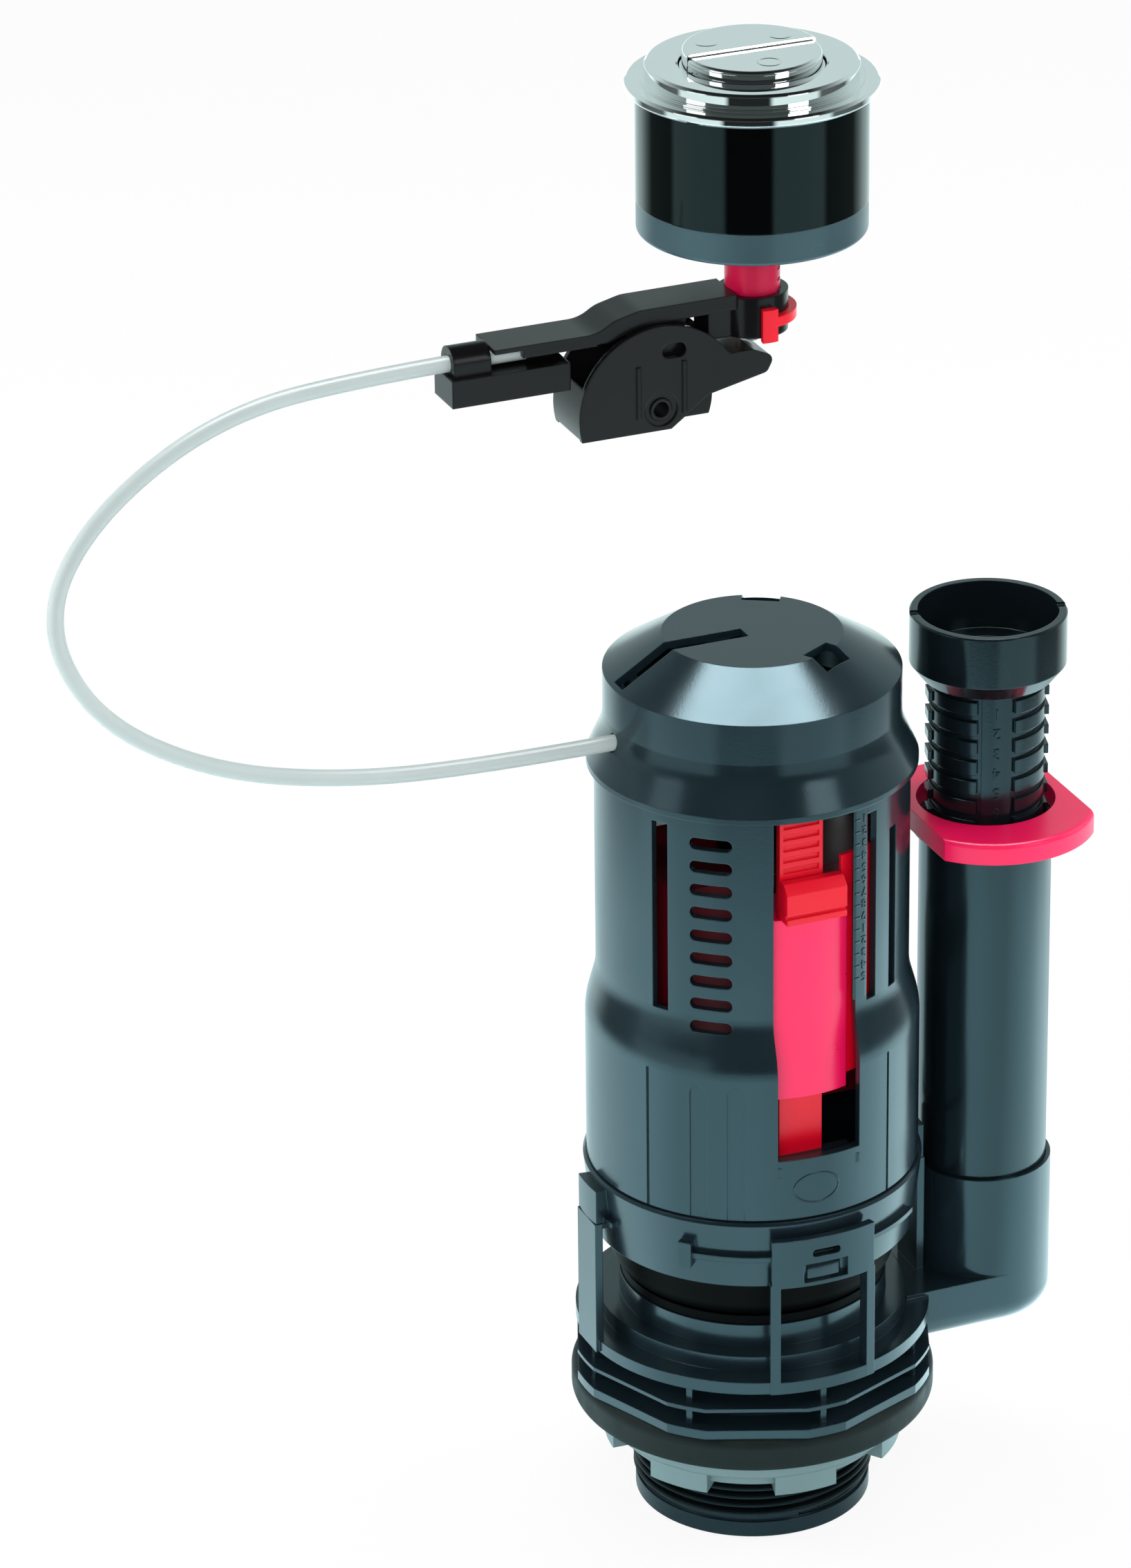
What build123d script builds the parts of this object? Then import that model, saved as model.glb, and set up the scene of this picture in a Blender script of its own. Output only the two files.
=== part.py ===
from build123d import *
import os
from math import cos, pi, radians, sin, sqrt, tan

# Clearances
slip_gap = 0.1
run_gap = 0.35
pin_gap = 0.05

# Threaded tail, nut and gasket
tail_bore_radius = 26.0
tail_core_radius = 28.4
tail_end_radius = 29.2
thread_radius = 29.8
tail_band_height = 4.0
nut_height_on_tail = 16.0
nut_tooth_count = 7
nut_tooth_height = 4.9
nut_tooth_half_angle = 12.6
nut_tooth_radius = 37.0
nut_hub_wall = 5.5
nut_flange_radius = 37.5
nut_flange_height = 6.4
gasket_radius = 45.0
gasket_height = 8.6
gasket_round = 2.6
gasket_rim_depth = 0.4
rim_gap = 0.4

# Flange plates and valve seat
plate_overhang = 0.2
plate_corner_rise = 1.8
plate_height = 2.4
plate_gap = 5.0
upper_plate_height = 1.0
ring_gap = 4.2
neck_radius = 36.0
web_count = 8
web_width = 1.6
ring_setback = 1.2
ring_height = 3.2
step_radius = 38.0
step_height = 4.0
lip_radius = 33.0
lip_land = 3.0
lip_height = 6.0

# Posts and bayonet latches
port_height = 24.4
post_depth = 2.6
post_width = 2.5
post_angle = 16.6
strap_width = 11.0
strap_half_angle = 7.0
latch_rise = 1.5
latch_height = 12.8
latch_depth = 2.0
latch_half_angle = 17.8
latch_lip_height = 1.5
latch_slot_length = 7.4
latch_slot_height = 2.0
latch_notch_width = 11.6
latch_notch_height = 5.0

# Bayonet collar
collar_taper = 2.0
collar_overhang = 0.9
collar_height = 17.9
collar_floor_height = 3.9
collar_floor_lip = 2.2
ledge_rise = 7.8
ledge_height = 1.4
ledge_half_angle = 44.0
strap_ledge_half_angle = 12.0
strap_block_height = 9.0
lug_half_angle = 2.3
lug_height = 6.4

# Tower
spigot_wall = 2.3
shoulder_step = 2.7
tower_top_radius = 38.0
tower_low_wall = 2.3
tower_top_wall = 1.9
shoulder_height = 38.0
shoulder_rise = 15.0
tower_height = 109.0
seam_chamfer = 0.6
window_half_width = 10.7
sill_height = 16.4
window_head = 3.5
shelf_height = 2.5
shelf_drop = 4.4
shelf_depth = 8.0
tall_slot_height = 49.0
tall_slot_width = 4.5
tall_slot_angle = -59.2
side_slot_width = 3.2
side_slot_angles = (24.3, 37.7)
side_slot_height = 42.0
vent_count = 9
vent_pitch = 6.0
vent_width = 10.4
vent_height = 3.0
vent_angle = -39.0
flute_angles = (-42.6, -29.5)
flute_width = 4.2
flute_depth = 0.5
flute_height = 36.0
panel_groove_angles = (-62.0, 29.3)
panel_groove_width = 0.8

# Cap
cap_overlap = 3.9
cap_skirt_wall = 1.9
cap_skirt_height = 1.5
cap_flare_height = 9.1
cap_blend = 14.0
cap_wall_setback = 2.2
cap_wall_height = 13.2
cap_cone_height = 8.8
cap_disc_radius = 21.7
cap_wall = 2.0
groove_width = 5.0
groove_depth = 4.0
groove_inner = 2.0
notch_width = 9.3
notch_length = 7.0
cable_hole_gap = 0.3

# Lift crank under the cap
crank_x = -14.5
crank_drop = 6.2
crank_up_arm = 6.4
crank_lift_arm = 15.0
crank_swing = 40.0
crank_hub_radius = 4.2
crank_hub_width = 8.4
crank_pin_radius = 2.0
crank_plate_width = 2.8
crank_tip_radius = 2.6
crank_tine_inner = 1.2
crank_tine_outer = 3.2
cross_pin_radius = 1.5
cross_pin_length = 10.0
ear_width = 1.8
ear_length = 8.4
nipple_radius = 1.2
nipple_gap = 0.6

# Plunger, seal, floats and guide
seal_height = 2.4
seal_inner_radius = 21.0
seal_outer_radius = 32.6
retainer_radius = 24.0
retainer_height = 2.2
bell_gap = 1.6
bell_height = 14.0
bell_wall = 1.6
bell_round = 5.0
stem_radius = 8.5
stem_top_height = 126.0
stem_head_width = 9.2
stem_head_length = 8.4
stem_head_height = 14.8
stem_slot_length = 5.4
guide_hub_radius = 13.0
guide_height = 9.0
guide_arm_width = 7.0
guide_drop = 7.0
float_ring_gap = 4.6
float_ring_height = 62.0
float_ring_top_gap = 10.8
float_wall = 1.5
float_flat_gap = 1.7

# Adjustable half-flush float on its toothed strip
strip_left = -7.8
strip_right = 3.4
strip_setback = 4.5
strip_depth = 2.0
strip_head = 1.0
strip_tooth_pitch = 2.9
strip_tooth_height = 1.4
strip_tooth_depth = 0.7
strip_rail = 1.0
strip_tooth_count = 23
strip_tooth_margin = 4.0
half_float_left = -9.8
half_float_right = 9.5
half_float_front_setback = 2.4
half_float_back_setback = 17.8
half_float_rise = 14.0
half_float_height = 47.6
half_float_window_setback = 4.0
chamber_wall = 1.6
chamber_front_y = -29.5
latch_knob_left = -7.9
latch_knob_right = 7.6
latch_knob_height = 10.0
latch_knob_depth = 4.4

# Overflow
overflow_offset = 18.0
duct_height = 14.5
cup_radius = 17.4
cup_height = 41.5
cup_round = 6.2
duct_wall = 1.9
tube_radius = 16.2
tube_wall = 1.1
tube_seat_height = 16.5
tube_length = 116.5
tube_head_radius = 18.0
tube_head_height = 2.4
clip_height = 5.4
clip_half_width = 20.0
clip_side_front = -19.0
clip_front_y = -28.5
clip_side_back = 12.0
clip_back_y = 23.0
clip_back_half = 11.0
clip_hole_radius = 17.0
clip_tooth_count = 12
clip_tooth_size = 1.0
clip_tooth_arc = 80.0
funnel_core_radius = 13.2
funnel_bore_radius = 11.8
funnel_band_radius = 14.1
funnel_rack_radius = 14.8
funnel_turn = -16.0
band_pitch = 5.2
band_count = 7
band_height = 3.5
band_first_drop = 2.0
strip_band_half_angle = 15.0
strip_gap_width = 9.4
strip_seam_angle = 18.0
rack_width = 5.0
rack_tooth_height = 2.4
funnel_tube_length = 97.0
funnel_foot_height = 5.0
funnel_lift = 32.8
funnel_radius = 19.1
funnel_mouth_radius = 17.1
funnel_chamfer = 3.1
funnel_chamfer_height = 4.0
funnel_height = 17.0
funnel_ledge = 4.6
rim_notch_width = 3.0
rim_notch_depth = 0.7

# Push button
lid_height = 368.0
bezel_radius = 29.55
bezel_flange_height = 2.5
bezel_bead = 0.6
bezel_rim_depth = 0.4
bezel_step_radius = 26.0
bezel_step_height = 0.5
bezel_disc_radius = 24.9
bezel_disc_height = 3.5
bezel_plug_depth = 8.0
bezel_plug_wall = 2.0
bezel_skirt_depth = 16.0
bezel_skirt_wall = 2.0
button_radius = 16.2
button_skirt_radius = 16.8
button_step_drop = 1.2
front_button_rise = 2.5
rear_button_rise = 3.4
button_depth = 16.5
button_wall = 1.5
button_split = 0.5
foot_height = 3.4
foot_drop = 8.0
foot_width = 6.0
sleeve_radius = 27.2
sleeve_height = 26.3
sleeve_wall = 2.2
lock_ring_radius = 27.0
lock_ring_height = 7.8
lock_ring_floor = 2.1
tube_flange_radius = 24.5
tube_flange_height = 2.0
spring_y = 9.5
spring_coil_radius = 3.4
spring_wire_radius = 0.5
spring_turns = 5

# Guide tube, push rod and lever
guide_radius = 6.5
guide_bore = 4.0
guide_length = 29.5
guide_notch_pitch = 2.8
guide_notch_count = 6
guide_notch_depth = 0.5
rod_radius = 3.6
rod_tip_radius = 3.0
rod_tip_drop = 0.95
pivot_x = -26.5
pivot_drop = 72.6
pivot_pin_radius = 2.7
pivot_pin_bore = 1.9
cheek_radius = 20.6
cheek_wall = 1.5
lever_half_width = 8.0
lever_foot_rise = -5.1
lever_foot_right = -24.0
nose_heel = (-14.2, 2.0)
nose_low = (0.3, 5.2)
nose_tip = (2.2, 8.9)
nose_top = (-3.2, 11.3)
nose_root_angle = 33.0
nose_round = 1.8
nose_inner_x = -13.0
rim_wall = 1.3
rim_start = 158.0
rim_end = 193.0
drum_radius = 15.2
drum_width = 4.8
lever_web = 3.2
web_half_height = 5.0
cheek_slot = (-23.2, 14.2)
cheek_slot_length = 6.0
cheek_slot_height = 3.6
cheek_rib_width = 1.0
cheek_rib_height = 13.0
cheek_rib_spacing = 11.5
cheek_rib_rise = 0.5
cheek_recess_radius = 4.1
cheek_recess_depth = 0.5

# Lever frame, clip and cable
arm_half_width = 5.9
arm_top = 24.6
arm_low = 21.0
arm_bend = ((-31.0, 24.5), (-37.5, 22.9), (-41.5, 20.4))
arm_plate_low = 17.8
arm_knee = (-30.2, 20.6)
arm_hip = (-38.4, 17.8)
plate_end_x = -50.5
ear_inner = 3.6
ear_outer = 5.2
frame_ear_radius = 5.0
ring_wall = 1.8
frame_ring_low = 13.8
frame_web_x = -12.0
channel_left = -77.5
channel_right = -48.2
channel_low = 7.6
channel_half_width = 5.6
channel_wall = 1.5
rail_left = -67.0
back_wall = 1.8
back_wall_foot = 12.6
hood_low = 19.3
hood_front_low = 17.4
hood_front_left = -60.0
arm_round = 9.0
clip_bar_low = 13.2
clip_bar_height = 8.0
clip_band_wall = 1.9
clip_band_height = 2.4
clip_band_start = -100.0
clip_band_end = 25.0
clip_bar_angle = 22.0
cable_rise = 16.8
cable_entry_drop = 0.5
cable_radius = 2.0
clamp_left = -76.4
clamp_right = -67.2
clamp_radius = 4.1
ferrule_length = 6.5
ferrule_radius = 2.4
wire_radius = 0.55
lower_ferrule_radius = 3.0
ferrule_plate = 2.0
ferrule_plate_width = 10.0
cable_shape = (
    (-57.5, 1.0),
    (-93.5, 1.0),
    (-131.7, 0.966),
    (-162.9, 0.7786),
    (-176.3, 0.5505),
    (-165.7, 0.2932),
    (-138.4, 0.1146),
    (-105.0, 0.0282),
    (-68.0, 0.0),
    (-33.0, 0.0),
)

# Sizes and heights that follow from the sizes above
plate_trim_radius = gasket_radius + plate_overhang
plate_corner_radius = plate_trim_radius + plate_corner_rise
ring_radius = gasket_radius - ring_setback
nut_flange_z = nut_height_on_tail + nut_tooth_height
gasket_z = nut_flange_z + nut_flange_height
plate_z = gasket_z + gasket_height
upper_plate_z = plate_z + plate_height + plate_gap
ring_z = upper_plate_z + upper_plate_height + ring_gap
ring_top = ring_z + ring_height
step_top = ring_top + step_height
seat_z = step_top + lip_height
collar_z = ring_top + port_height
collar_top = collar_z + collar_height
latch_z = collar_z + latch_rise
ledge_z = collar_z + ledge_rise
spigot_z = collar_z + collar_floor_height
tower_top = collar_top + tower_height
shoulder_z = collar_top + shoulder_height
sill_z = collar_top + sill_height
shelf_z = sill_z - shelf_drop
cap_z = tower_top - cap_overlap
cap_flare_z = cap_z + cap_skirt_height + cap_flare_height
cap_shoulder_z = cap_flare_z + cap_wall_height
cap_top = cap_shoulder_z + cap_cone_height
tower_low_radius = tower_top_radius + shoulder_step
collar_top_radius = tower_low_radius + collar_overhang
collar_low_radius = collar_top_radius - collar_taper
cap_skirt_radius = tower_top_radius + cap_skirt_wall
cap_wall_radius = tower_top_radius - cap_wall_setback
strip_front_y = strip_setback - tower_top_radius
half_float_front_radius = tower_top_radius - half_float_front_setback
half_float_back_y = half_float_back_setback - tower_top_radius
half_float_window_y = half_float_window_setback - tower_top_radius
float_flat_y = half_float_back_y + float_flat_gap
float_ring_radius = tower_top_radius - tower_top_wall - float_ring_gap
latch_inner = collar_top_radius + 0.7
latch_outer = latch_inner + latch_depth
overflow_x = latch_outer + overflow_offset
spigot_radius = tower_top_radius + 0.8
collar_floor_bore = spigot_radius - collar_floor_lip
bell_radius = collar_floor_bore - bell_gap
pivot_z = lid_height - pivot_drop
cable_z = pivot_z + cable_rise
cable_entry_z = cap_flare_z - cable_entry_drop
cable_route = [(x, cable_entry_z + share * (cable_z - cable_entry_z)) for x, share in cable_shape]
route_end = cable_route[-1]
crank_z = route_end[1] - crank_drop
seal_z = seat_z + pin_gap
bell_z = seal_z + seal_height
stem_top = bell_z + stem_top_height
guide_z = crank_z - guide_drop - guide_height
duct_z = ring_top + 1.0 - duct_height
tube_z = duct_z + tube_seat_height
tube_top = tube_z + tube_length
clip_z = tube_top + slip_gap
funnel_z = clip_z + clip_height + funnel_lift
bezel_top = lid_height + bezel_flange_height + bezel_step_height + bezel_disc_height
button_low = bezel_top - button_depth
foot_z = button_low - foot_drop
sleeve_z = lid_height - sleeve_height
lock_ring_z = sleeve_z - lock_ring_height
tube_flange_z = lock_ring_z + lock_ring_floor
tube_flange_top = tube_flange_z + tube_flange_height
guide_low = tube_flange_z - guide_length + 2.4
well_radius = button_skirt_radius + run_gap
channel_top = cable_rise - ferrule_radius - slip_gap
lever_plane = Plane((0, 0, pivot_z), x_dir=(1, 0, 0), z_dir=(0, -1, 0))
pivot = (pivot_x, 0)
nose_root = (
    pivot_x + cheek_radius * cos(radians(nose_root_angle)),
    cheek_radius * sin(radians(nose_root_angle)),
)
cheek_foot = (pivot_x - sqrt(cheek_radius**2 - lever_foot_rise**2), lever_foot_rise)


def ring_sector(inner, outer, start, end):
    """Add the part of a flat ring between two angles to the open sketch."""
    with BuildLine() as border:
        outer_arc = CenterArc((0, 0), outer, start, end - start)
        inner_arc = CenterArc((0, 0), inner, start, end - start)
        Line(inner_arc @ 0, outer_arc @ 0)
        Line(inner_arc @ 1, outer_arc @ 1)
    make_face(border.edges())


def facing(angle, radius=0.0, height=0.0):
    """Plane that looks outwards at an angle from the front, with its own Y up."""
    turn = radians(angle)
    outward = Vector(sin(turn), -cos(turn), 0)
    return Plane(
        origin=outward * radius + Vector(0, 0, height),
        x_dir=(cos(turn), sin(turn), 0),
        z_dir=outward,
    )


os.makedirs("parts", exist_ok=True)

# Seat body: tail, flange plates, valve seat, posts, latches, overflow duct and cup
with BuildPart() as seat_body:
    with BuildSketch(Plane.XZ):
        with BuildLine():
            Polyline(
                (tail_bore_radius, 0),
                (tail_end_radius, 0),
                (tail_end_radius, tail_band_height),
                (tail_core_radius, tail_band_height),
                (tail_core_radius, plate_z),
                (neck_radius, plate_z),
                (neck_radius, ring_z),
                (ring_radius, ring_z),
                (ring_radius, ring_top),
                (step_radius, ring_top),
                (step_radius, step_top),
                (lip_radius, step_top),
                (lip_radius, seat_z),
                (lip_radius - lip_land, seat_z),
                (tail_bore_radius, step_top),
                close=True,
            )
        make_face()
    revolve(axis=Axis.Z)
    for low, height in ((plate_z, plate_height), (upper_plate_z, upper_plate_height)):
        with BuildSketch(Plane.XY.offset(low)):
            RegularPolygon(plate_corner_radius, 8)
            Circle(plate_trim_radius, mode=Mode.INTERSECT)
            Circle(neck_radius - 1, mode=Mode.SUBTRACT)
        extrude(amount=height)
    with BuildSketch(Plane.XY.offset(plate_z)):
        with PolarLocations((neck_radius + ring_radius) / 2 - 1, web_count):
            Rectangle(ring_radius - neck_radius, web_width)
    extrude(amount=ring_z - plate_z)
    with BuildSketch(Plane.XY.offset(ring_z)):
        for side in (-90, 90):
            with PolarLocations(
                latch_outer - post_depth / 2, 2, side - post_angle, 2 * post_angle, endpoint=True
            ):
                Rectangle(post_depth, post_width)
    extrude(amount=latch_z + 1 - ring_z)
    with BuildSketch(Plane.XY.offset(ring_z)):
        with PolarLocations(latch_outer - latch_depth / 2, 2):
            Rectangle(latch_depth, strap_width)
    extrude(amount=ledge_z - slip_gap - ring_z)
    with BuildSketch(Plane.XY.offset(ring_z)):
        for side in (-90, 90):
            ring_sector(step_radius - 1, latch_outer, side - latch_half_angle, side + latch_half_angle)
        for side in (0, 180):
            ring_sector(step_radius - 1, latch_outer, side - strap_half_angle, side + strap_half_angle)
    extrude(amount=ring_height)
    for side in (-90, 90):
        with BuildSketch(Plane.XY.offset(latch_z)):
            ring_sector(latch_inner, latch_outer, side - latch_half_angle, side + latch_half_angle)
        extrude(amount=latch_height)
    with BuildSketch(Plane.XY.offset(ledge_z - latch_lip_height - slip_gap)):
        for side, half in (
            (-90, latch_half_angle),
            (90, latch_half_angle),
            (0, strap_half_angle),
            (180, strap_half_angle),
        ):
            ring_sector(collar_top_radius - 0.8, latch_inner + 0.5, side - half, side + half)
    extrude(amount=latch_lip_height)
    for angle in (0, 180):
        with BuildSketch(facing(angle, latch_inner - 0.2, latch_z)):
            with Locations((0, latch_height * 0.68)):
                SlotOverall(latch_slot_length, latch_slot_height)
            with Locations((0, latch_notch_height / 2 + 1)):
                Rectangle(latch_notch_width, latch_notch_height)
        extrude(amount=latch_depth + 1, mode=Mode.SUBTRACT)
    duct_root = neck_radius - 2
    with BuildSketch(Plane((duct_root, 0, duct_z), x_dir=(0, 1, 0), z_dir=(1, 0, 0))) as duct_section:
        with Locations((0, duct_height / 2)):
            Rectangle(2 * cup_radius, duct_height)
        fillet(duct_section.vertices().group_by(Axis.Y)[0], cup_round)
    extrude(amount=overflow_x - duct_root)
    cup_plane = Plane(origin=(overflow_x, 0, duct_z), x_dir=(1, 0, 0), z_dir=(0, -1, 0))
    with BuildSketch(cup_plane):
        with BuildLine():
            floor_line = Line((0, 0), (cup_radius - cup_round, 0))
            corner = TangentArc(floor_line @ 1, (cup_radius, cup_round), tangent=(1, 0))
            Polyline(corner @ 1, (cup_radius, cup_height), (0, cup_height), (0, 0))
        make_face()
    revolve(axis=Axis((overflow_x, 0, 0), (0, 0, 1)))
    with BuildSketch(Plane.XY.offset(duct_z + duct_wall)):
        with Locations((overflow_x / 2 + tail_bore_radius / 2 - 3, 0)):
            Rectangle(overflow_x - tail_bore_radius + 6, 2 * (cup_radius - duct_wall - 1.5))
        with Locations((overflow_x, 0)):
            Circle(cup_radius - duct_wall - 1.5)
    extrude(amount=duct_height - 2 * duct_wall, mode=Mode.SUBTRACT)
    with BuildSketch(Plane.XY.offset(duct_z + duct_height / 2)):
        with Locations((overflow_x, 0)):
            Circle(cup_radius - duct_wall - 1.5)
    extrude(amount=cup_height, mode=Mode.SUBTRACT)
    with BuildSketch(Plane.XY.offset(tube_z)):
        with Locations((overflow_x, 0)):
            Circle(tube_radius + slip_gap)
    extrude(amount=cup_height, mode=Mode.SUBTRACT)
seat_body.part.label = "seat_body"
export_step(seat_body.part, "parts/seat_body.step")

# Floor gasket: thick ring with rounded outer edges
with BuildPart() as floor_gasket:
    rim_z = gasket_z - gasket_rim_depth
    with BuildSketch(Plane.XY.offset(rim_z)):
        Circle(gasket_radius)
    extrude(amount=plate_z - rim_z)
    fillet(floor_gasket.edges(), gasket_round)
    with BuildSketch(Plane.XY.offset(rim_z)):
        Circle(nut_flange_radius + rim_gap)
    extrude(amount=gasket_rim_depth, mode=Mode.SUBTRACT)
    with BuildSketch(Plane.XY.offset(gasket_z)):
        Circle(thread_radius + slip_gap)
    extrude(amount=gasket_height, mode=Mode.SUBTRACT)
floor_gasket.part.label = "floor_gasket"
export_step(floor_gasket.part, "parts/floor_gasket.step")

# Back nut: flange with hanging castellations
with BuildPart() as back_nut:
    with BuildSketch(Plane.XY.offset(nut_flange_z)):
        Circle(nut_flange_radius)
    extrude(amount=nut_flange_height)
    fillet(back_nut.edges().group_by(Axis.Z)[0], 1.0)
    with BuildSketch(Plane.XY.offset(nut_height_on_tail)):
        for number in range(nut_tooth_count):
            middle = -144 + number * 360 / nut_tooth_count
            ring_sector(
                tail_core_radius + 1,
                nut_tooth_radius,
                middle - nut_tooth_half_angle,
                middle + nut_tooth_half_angle,
            )
    extrude(amount=nut_tooth_height + 1)
    with BuildSketch(Plane.XY.offset(nut_height_on_tail + nut_tooth_height / 3)):
        Circle(tail_core_radius + nut_hub_wall)
    extrude(amount=nut_tooth_height)
    with BuildSketch(Plane.XY.offset(nut_height_on_tail)):
        Circle(tail_core_radius + slip_gap)
    extrude(amount=gasket_z, mode=Mode.SUBTRACT)
back_nut.part.label = "back_nut"
export_step(back_nut.part, "parts/back_nut.step")

# Bayonet collar: tapered ring with ledges and lugs that lock in the latches
with BuildPart() as bayonet_collar:
    with BuildSketch(Plane.XZ):
        with BuildLine():
            Polyline(
                (collar_floor_bore, collar_z),
                (collar_low_radius, collar_z),
                (collar_top_radius, collar_top - seam_chamfer),
                (collar_top_radius - seam_chamfer, collar_top),
                (spigot_radius + slip_gap, collar_top),
                (spigot_radius + slip_gap, spigot_z),
                (collar_floor_bore, spigot_z),
                close=True,
            )
        make_face()
    revolve(axis=Axis.Z)
    with BuildSketch(Plane.XY.offset(ledge_z)):
        for side, half in (
            (-90, ledge_half_angle),
            (90, ledge_half_angle),
            (0, strap_ledge_half_angle),
            (180, strap_ledge_half_angle),
        ):
            ring_sector(collar_low_radius, latch_inner - slip_gap, side - half, side + half)
    extrude(amount=ledge_height)
    with BuildSketch(Plane.XY.offset(ledge_z)):
        for side in (0, 180):
            ring_sector(collar_low_radius, latch_outer, side - strap_half_angle, side + strap_half_angle)
    extrude(amount=strap_block_height)
    with BuildSketch(Plane.XY.offset(ledge_z - lug_height / 3)):
        for side in (-90, 90):
            middle = side - ledge_half_angle - lug_half_angle
            ring_sector(
                collar_low_radius, latch_outer - 1, middle - lug_half_angle, middle + lug_half_angle
            )
    extrude(amount=lug_height)
bayonet_collar.part.label = "bayonet_collar"
export_step(bayonet_collar.part, "parts/bayonet_collar.step")

# Tower: barrel with shoulder, window, slots, vents and flutes
with BuildPart() as tower:
    inner_low = tower_low_radius - tower_low_wall
    inner_top = tower_top_radius - tower_top_wall
    with BuildSketch(Plane.XZ):
        with BuildLine():
            foot = Polyline(
                (tower_top_radius, tower_top),
                (inner_top, tower_top),
                (inner_top, shoulder_z + shoulder_rise),
                (inner_low, shoulder_z),
                (inner_low, collar_top + spigot_wall),
                (spigot_radius - spigot_wall, collar_top),
                (spigot_radius - spigot_wall, spigot_z),
                (spigot_radius, spigot_z),
                (spigot_radius, collar_top),
                (tower_low_radius - seam_chamfer, collar_top),
                (tower_low_radius, collar_top + seam_chamfer),
                (tower_low_radius, shoulder_z),
            )
            bend = Spline(
                foot @ 1,
                (tower_top_radius, shoulder_z + shoulder_rise),
                tangents=((0, 1), (0, 1)),
            )
            Line(bend @ 1, foot @ 0)
        make_face()
    revolve(axis=Axis.Z)
    with BuildSketch(Plane.XY.offset(shelf_z)):
        with Locations((0, -tower_low_radius + tower_low_wall / 2 + shelf_depth / 2)):
            Rectangle(2 * window_half_width, shelf_depth)
    extrude(amount=shelf_height)
    window_height = tower_top - window_head - sill_z
    with BuildSketch(facing(0, tower_top_radius / 2, sill_z + window_height / 2)):
        Rectangle(2 * window_half_width, window_height)
    extrude(amount=tower_low_radius, mode=Mode.SUBTRACT)
    slot_foot = shoulder_z + shoulder_rise
    for angle, width, height in (
        (tall_slot_angle, tall_slot_width, tall_slot_height),
        (180 - tall_slot_angle, tall_slot_width, tall_slot_height),
        (180 + tall_slot_angle, tall_slot_width, tall_slot_height),
        (side_slot_angles[0], side_slot_width, tall_slot_height),
        (side_slot_angles[1], side_slot_width, side_slot_height),
    ):
        with BuildSketch(facing(angle, tower_top_radius / 2, slot_foot + height / 2)):
            Rectangle(width, height)
        extrude(amount=tower_low_radius, mode=Mode.SUBTRACT)
    with BuildSketch(facing(vent_angle, tower_top_radius / 2, slot_foot + vent_pitch * 3.6)):
        with GridLocations(0, vent_pitch, 1, vent_count):
            SlotOverall(vent_width, vent_height)
    extrude(amount=tower_low_radius, mode=Mode.SUBTRACT)
    for angle in flute_angles:
        with BuildSketch(facing(angle, tower_low_radius - flute_depth, collar_top)):
            with Locations((0, flute_height / 2 - flute_width / 2)):
                SlotOverall(flute_height + flute_width, flute_width, rotation=90)
            with Locations((0, -flute_width)):
                Rectangle(2 * flute_width, 2 * flute_width - 2 * seam_chamfer, mode=Mode.SUBTRACT)
        extrude(amount=flute_depth * 3, mode=Mode.SUBTRACT)
    for angle in panel_groove_angles:
        with BuildSketch(
            facing(angle, tower_low_radius - flute_depth, collar_top + shoulder_height / 2)
        ):
            Rectangle(panel_groove_width, shoulder_height)
        extrude(amount=flute_depth * 3, mode=Mode.SUBTRACT)
tower.part.label = "tower"
export_step(tower.part, "parts/tower.step")

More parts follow.
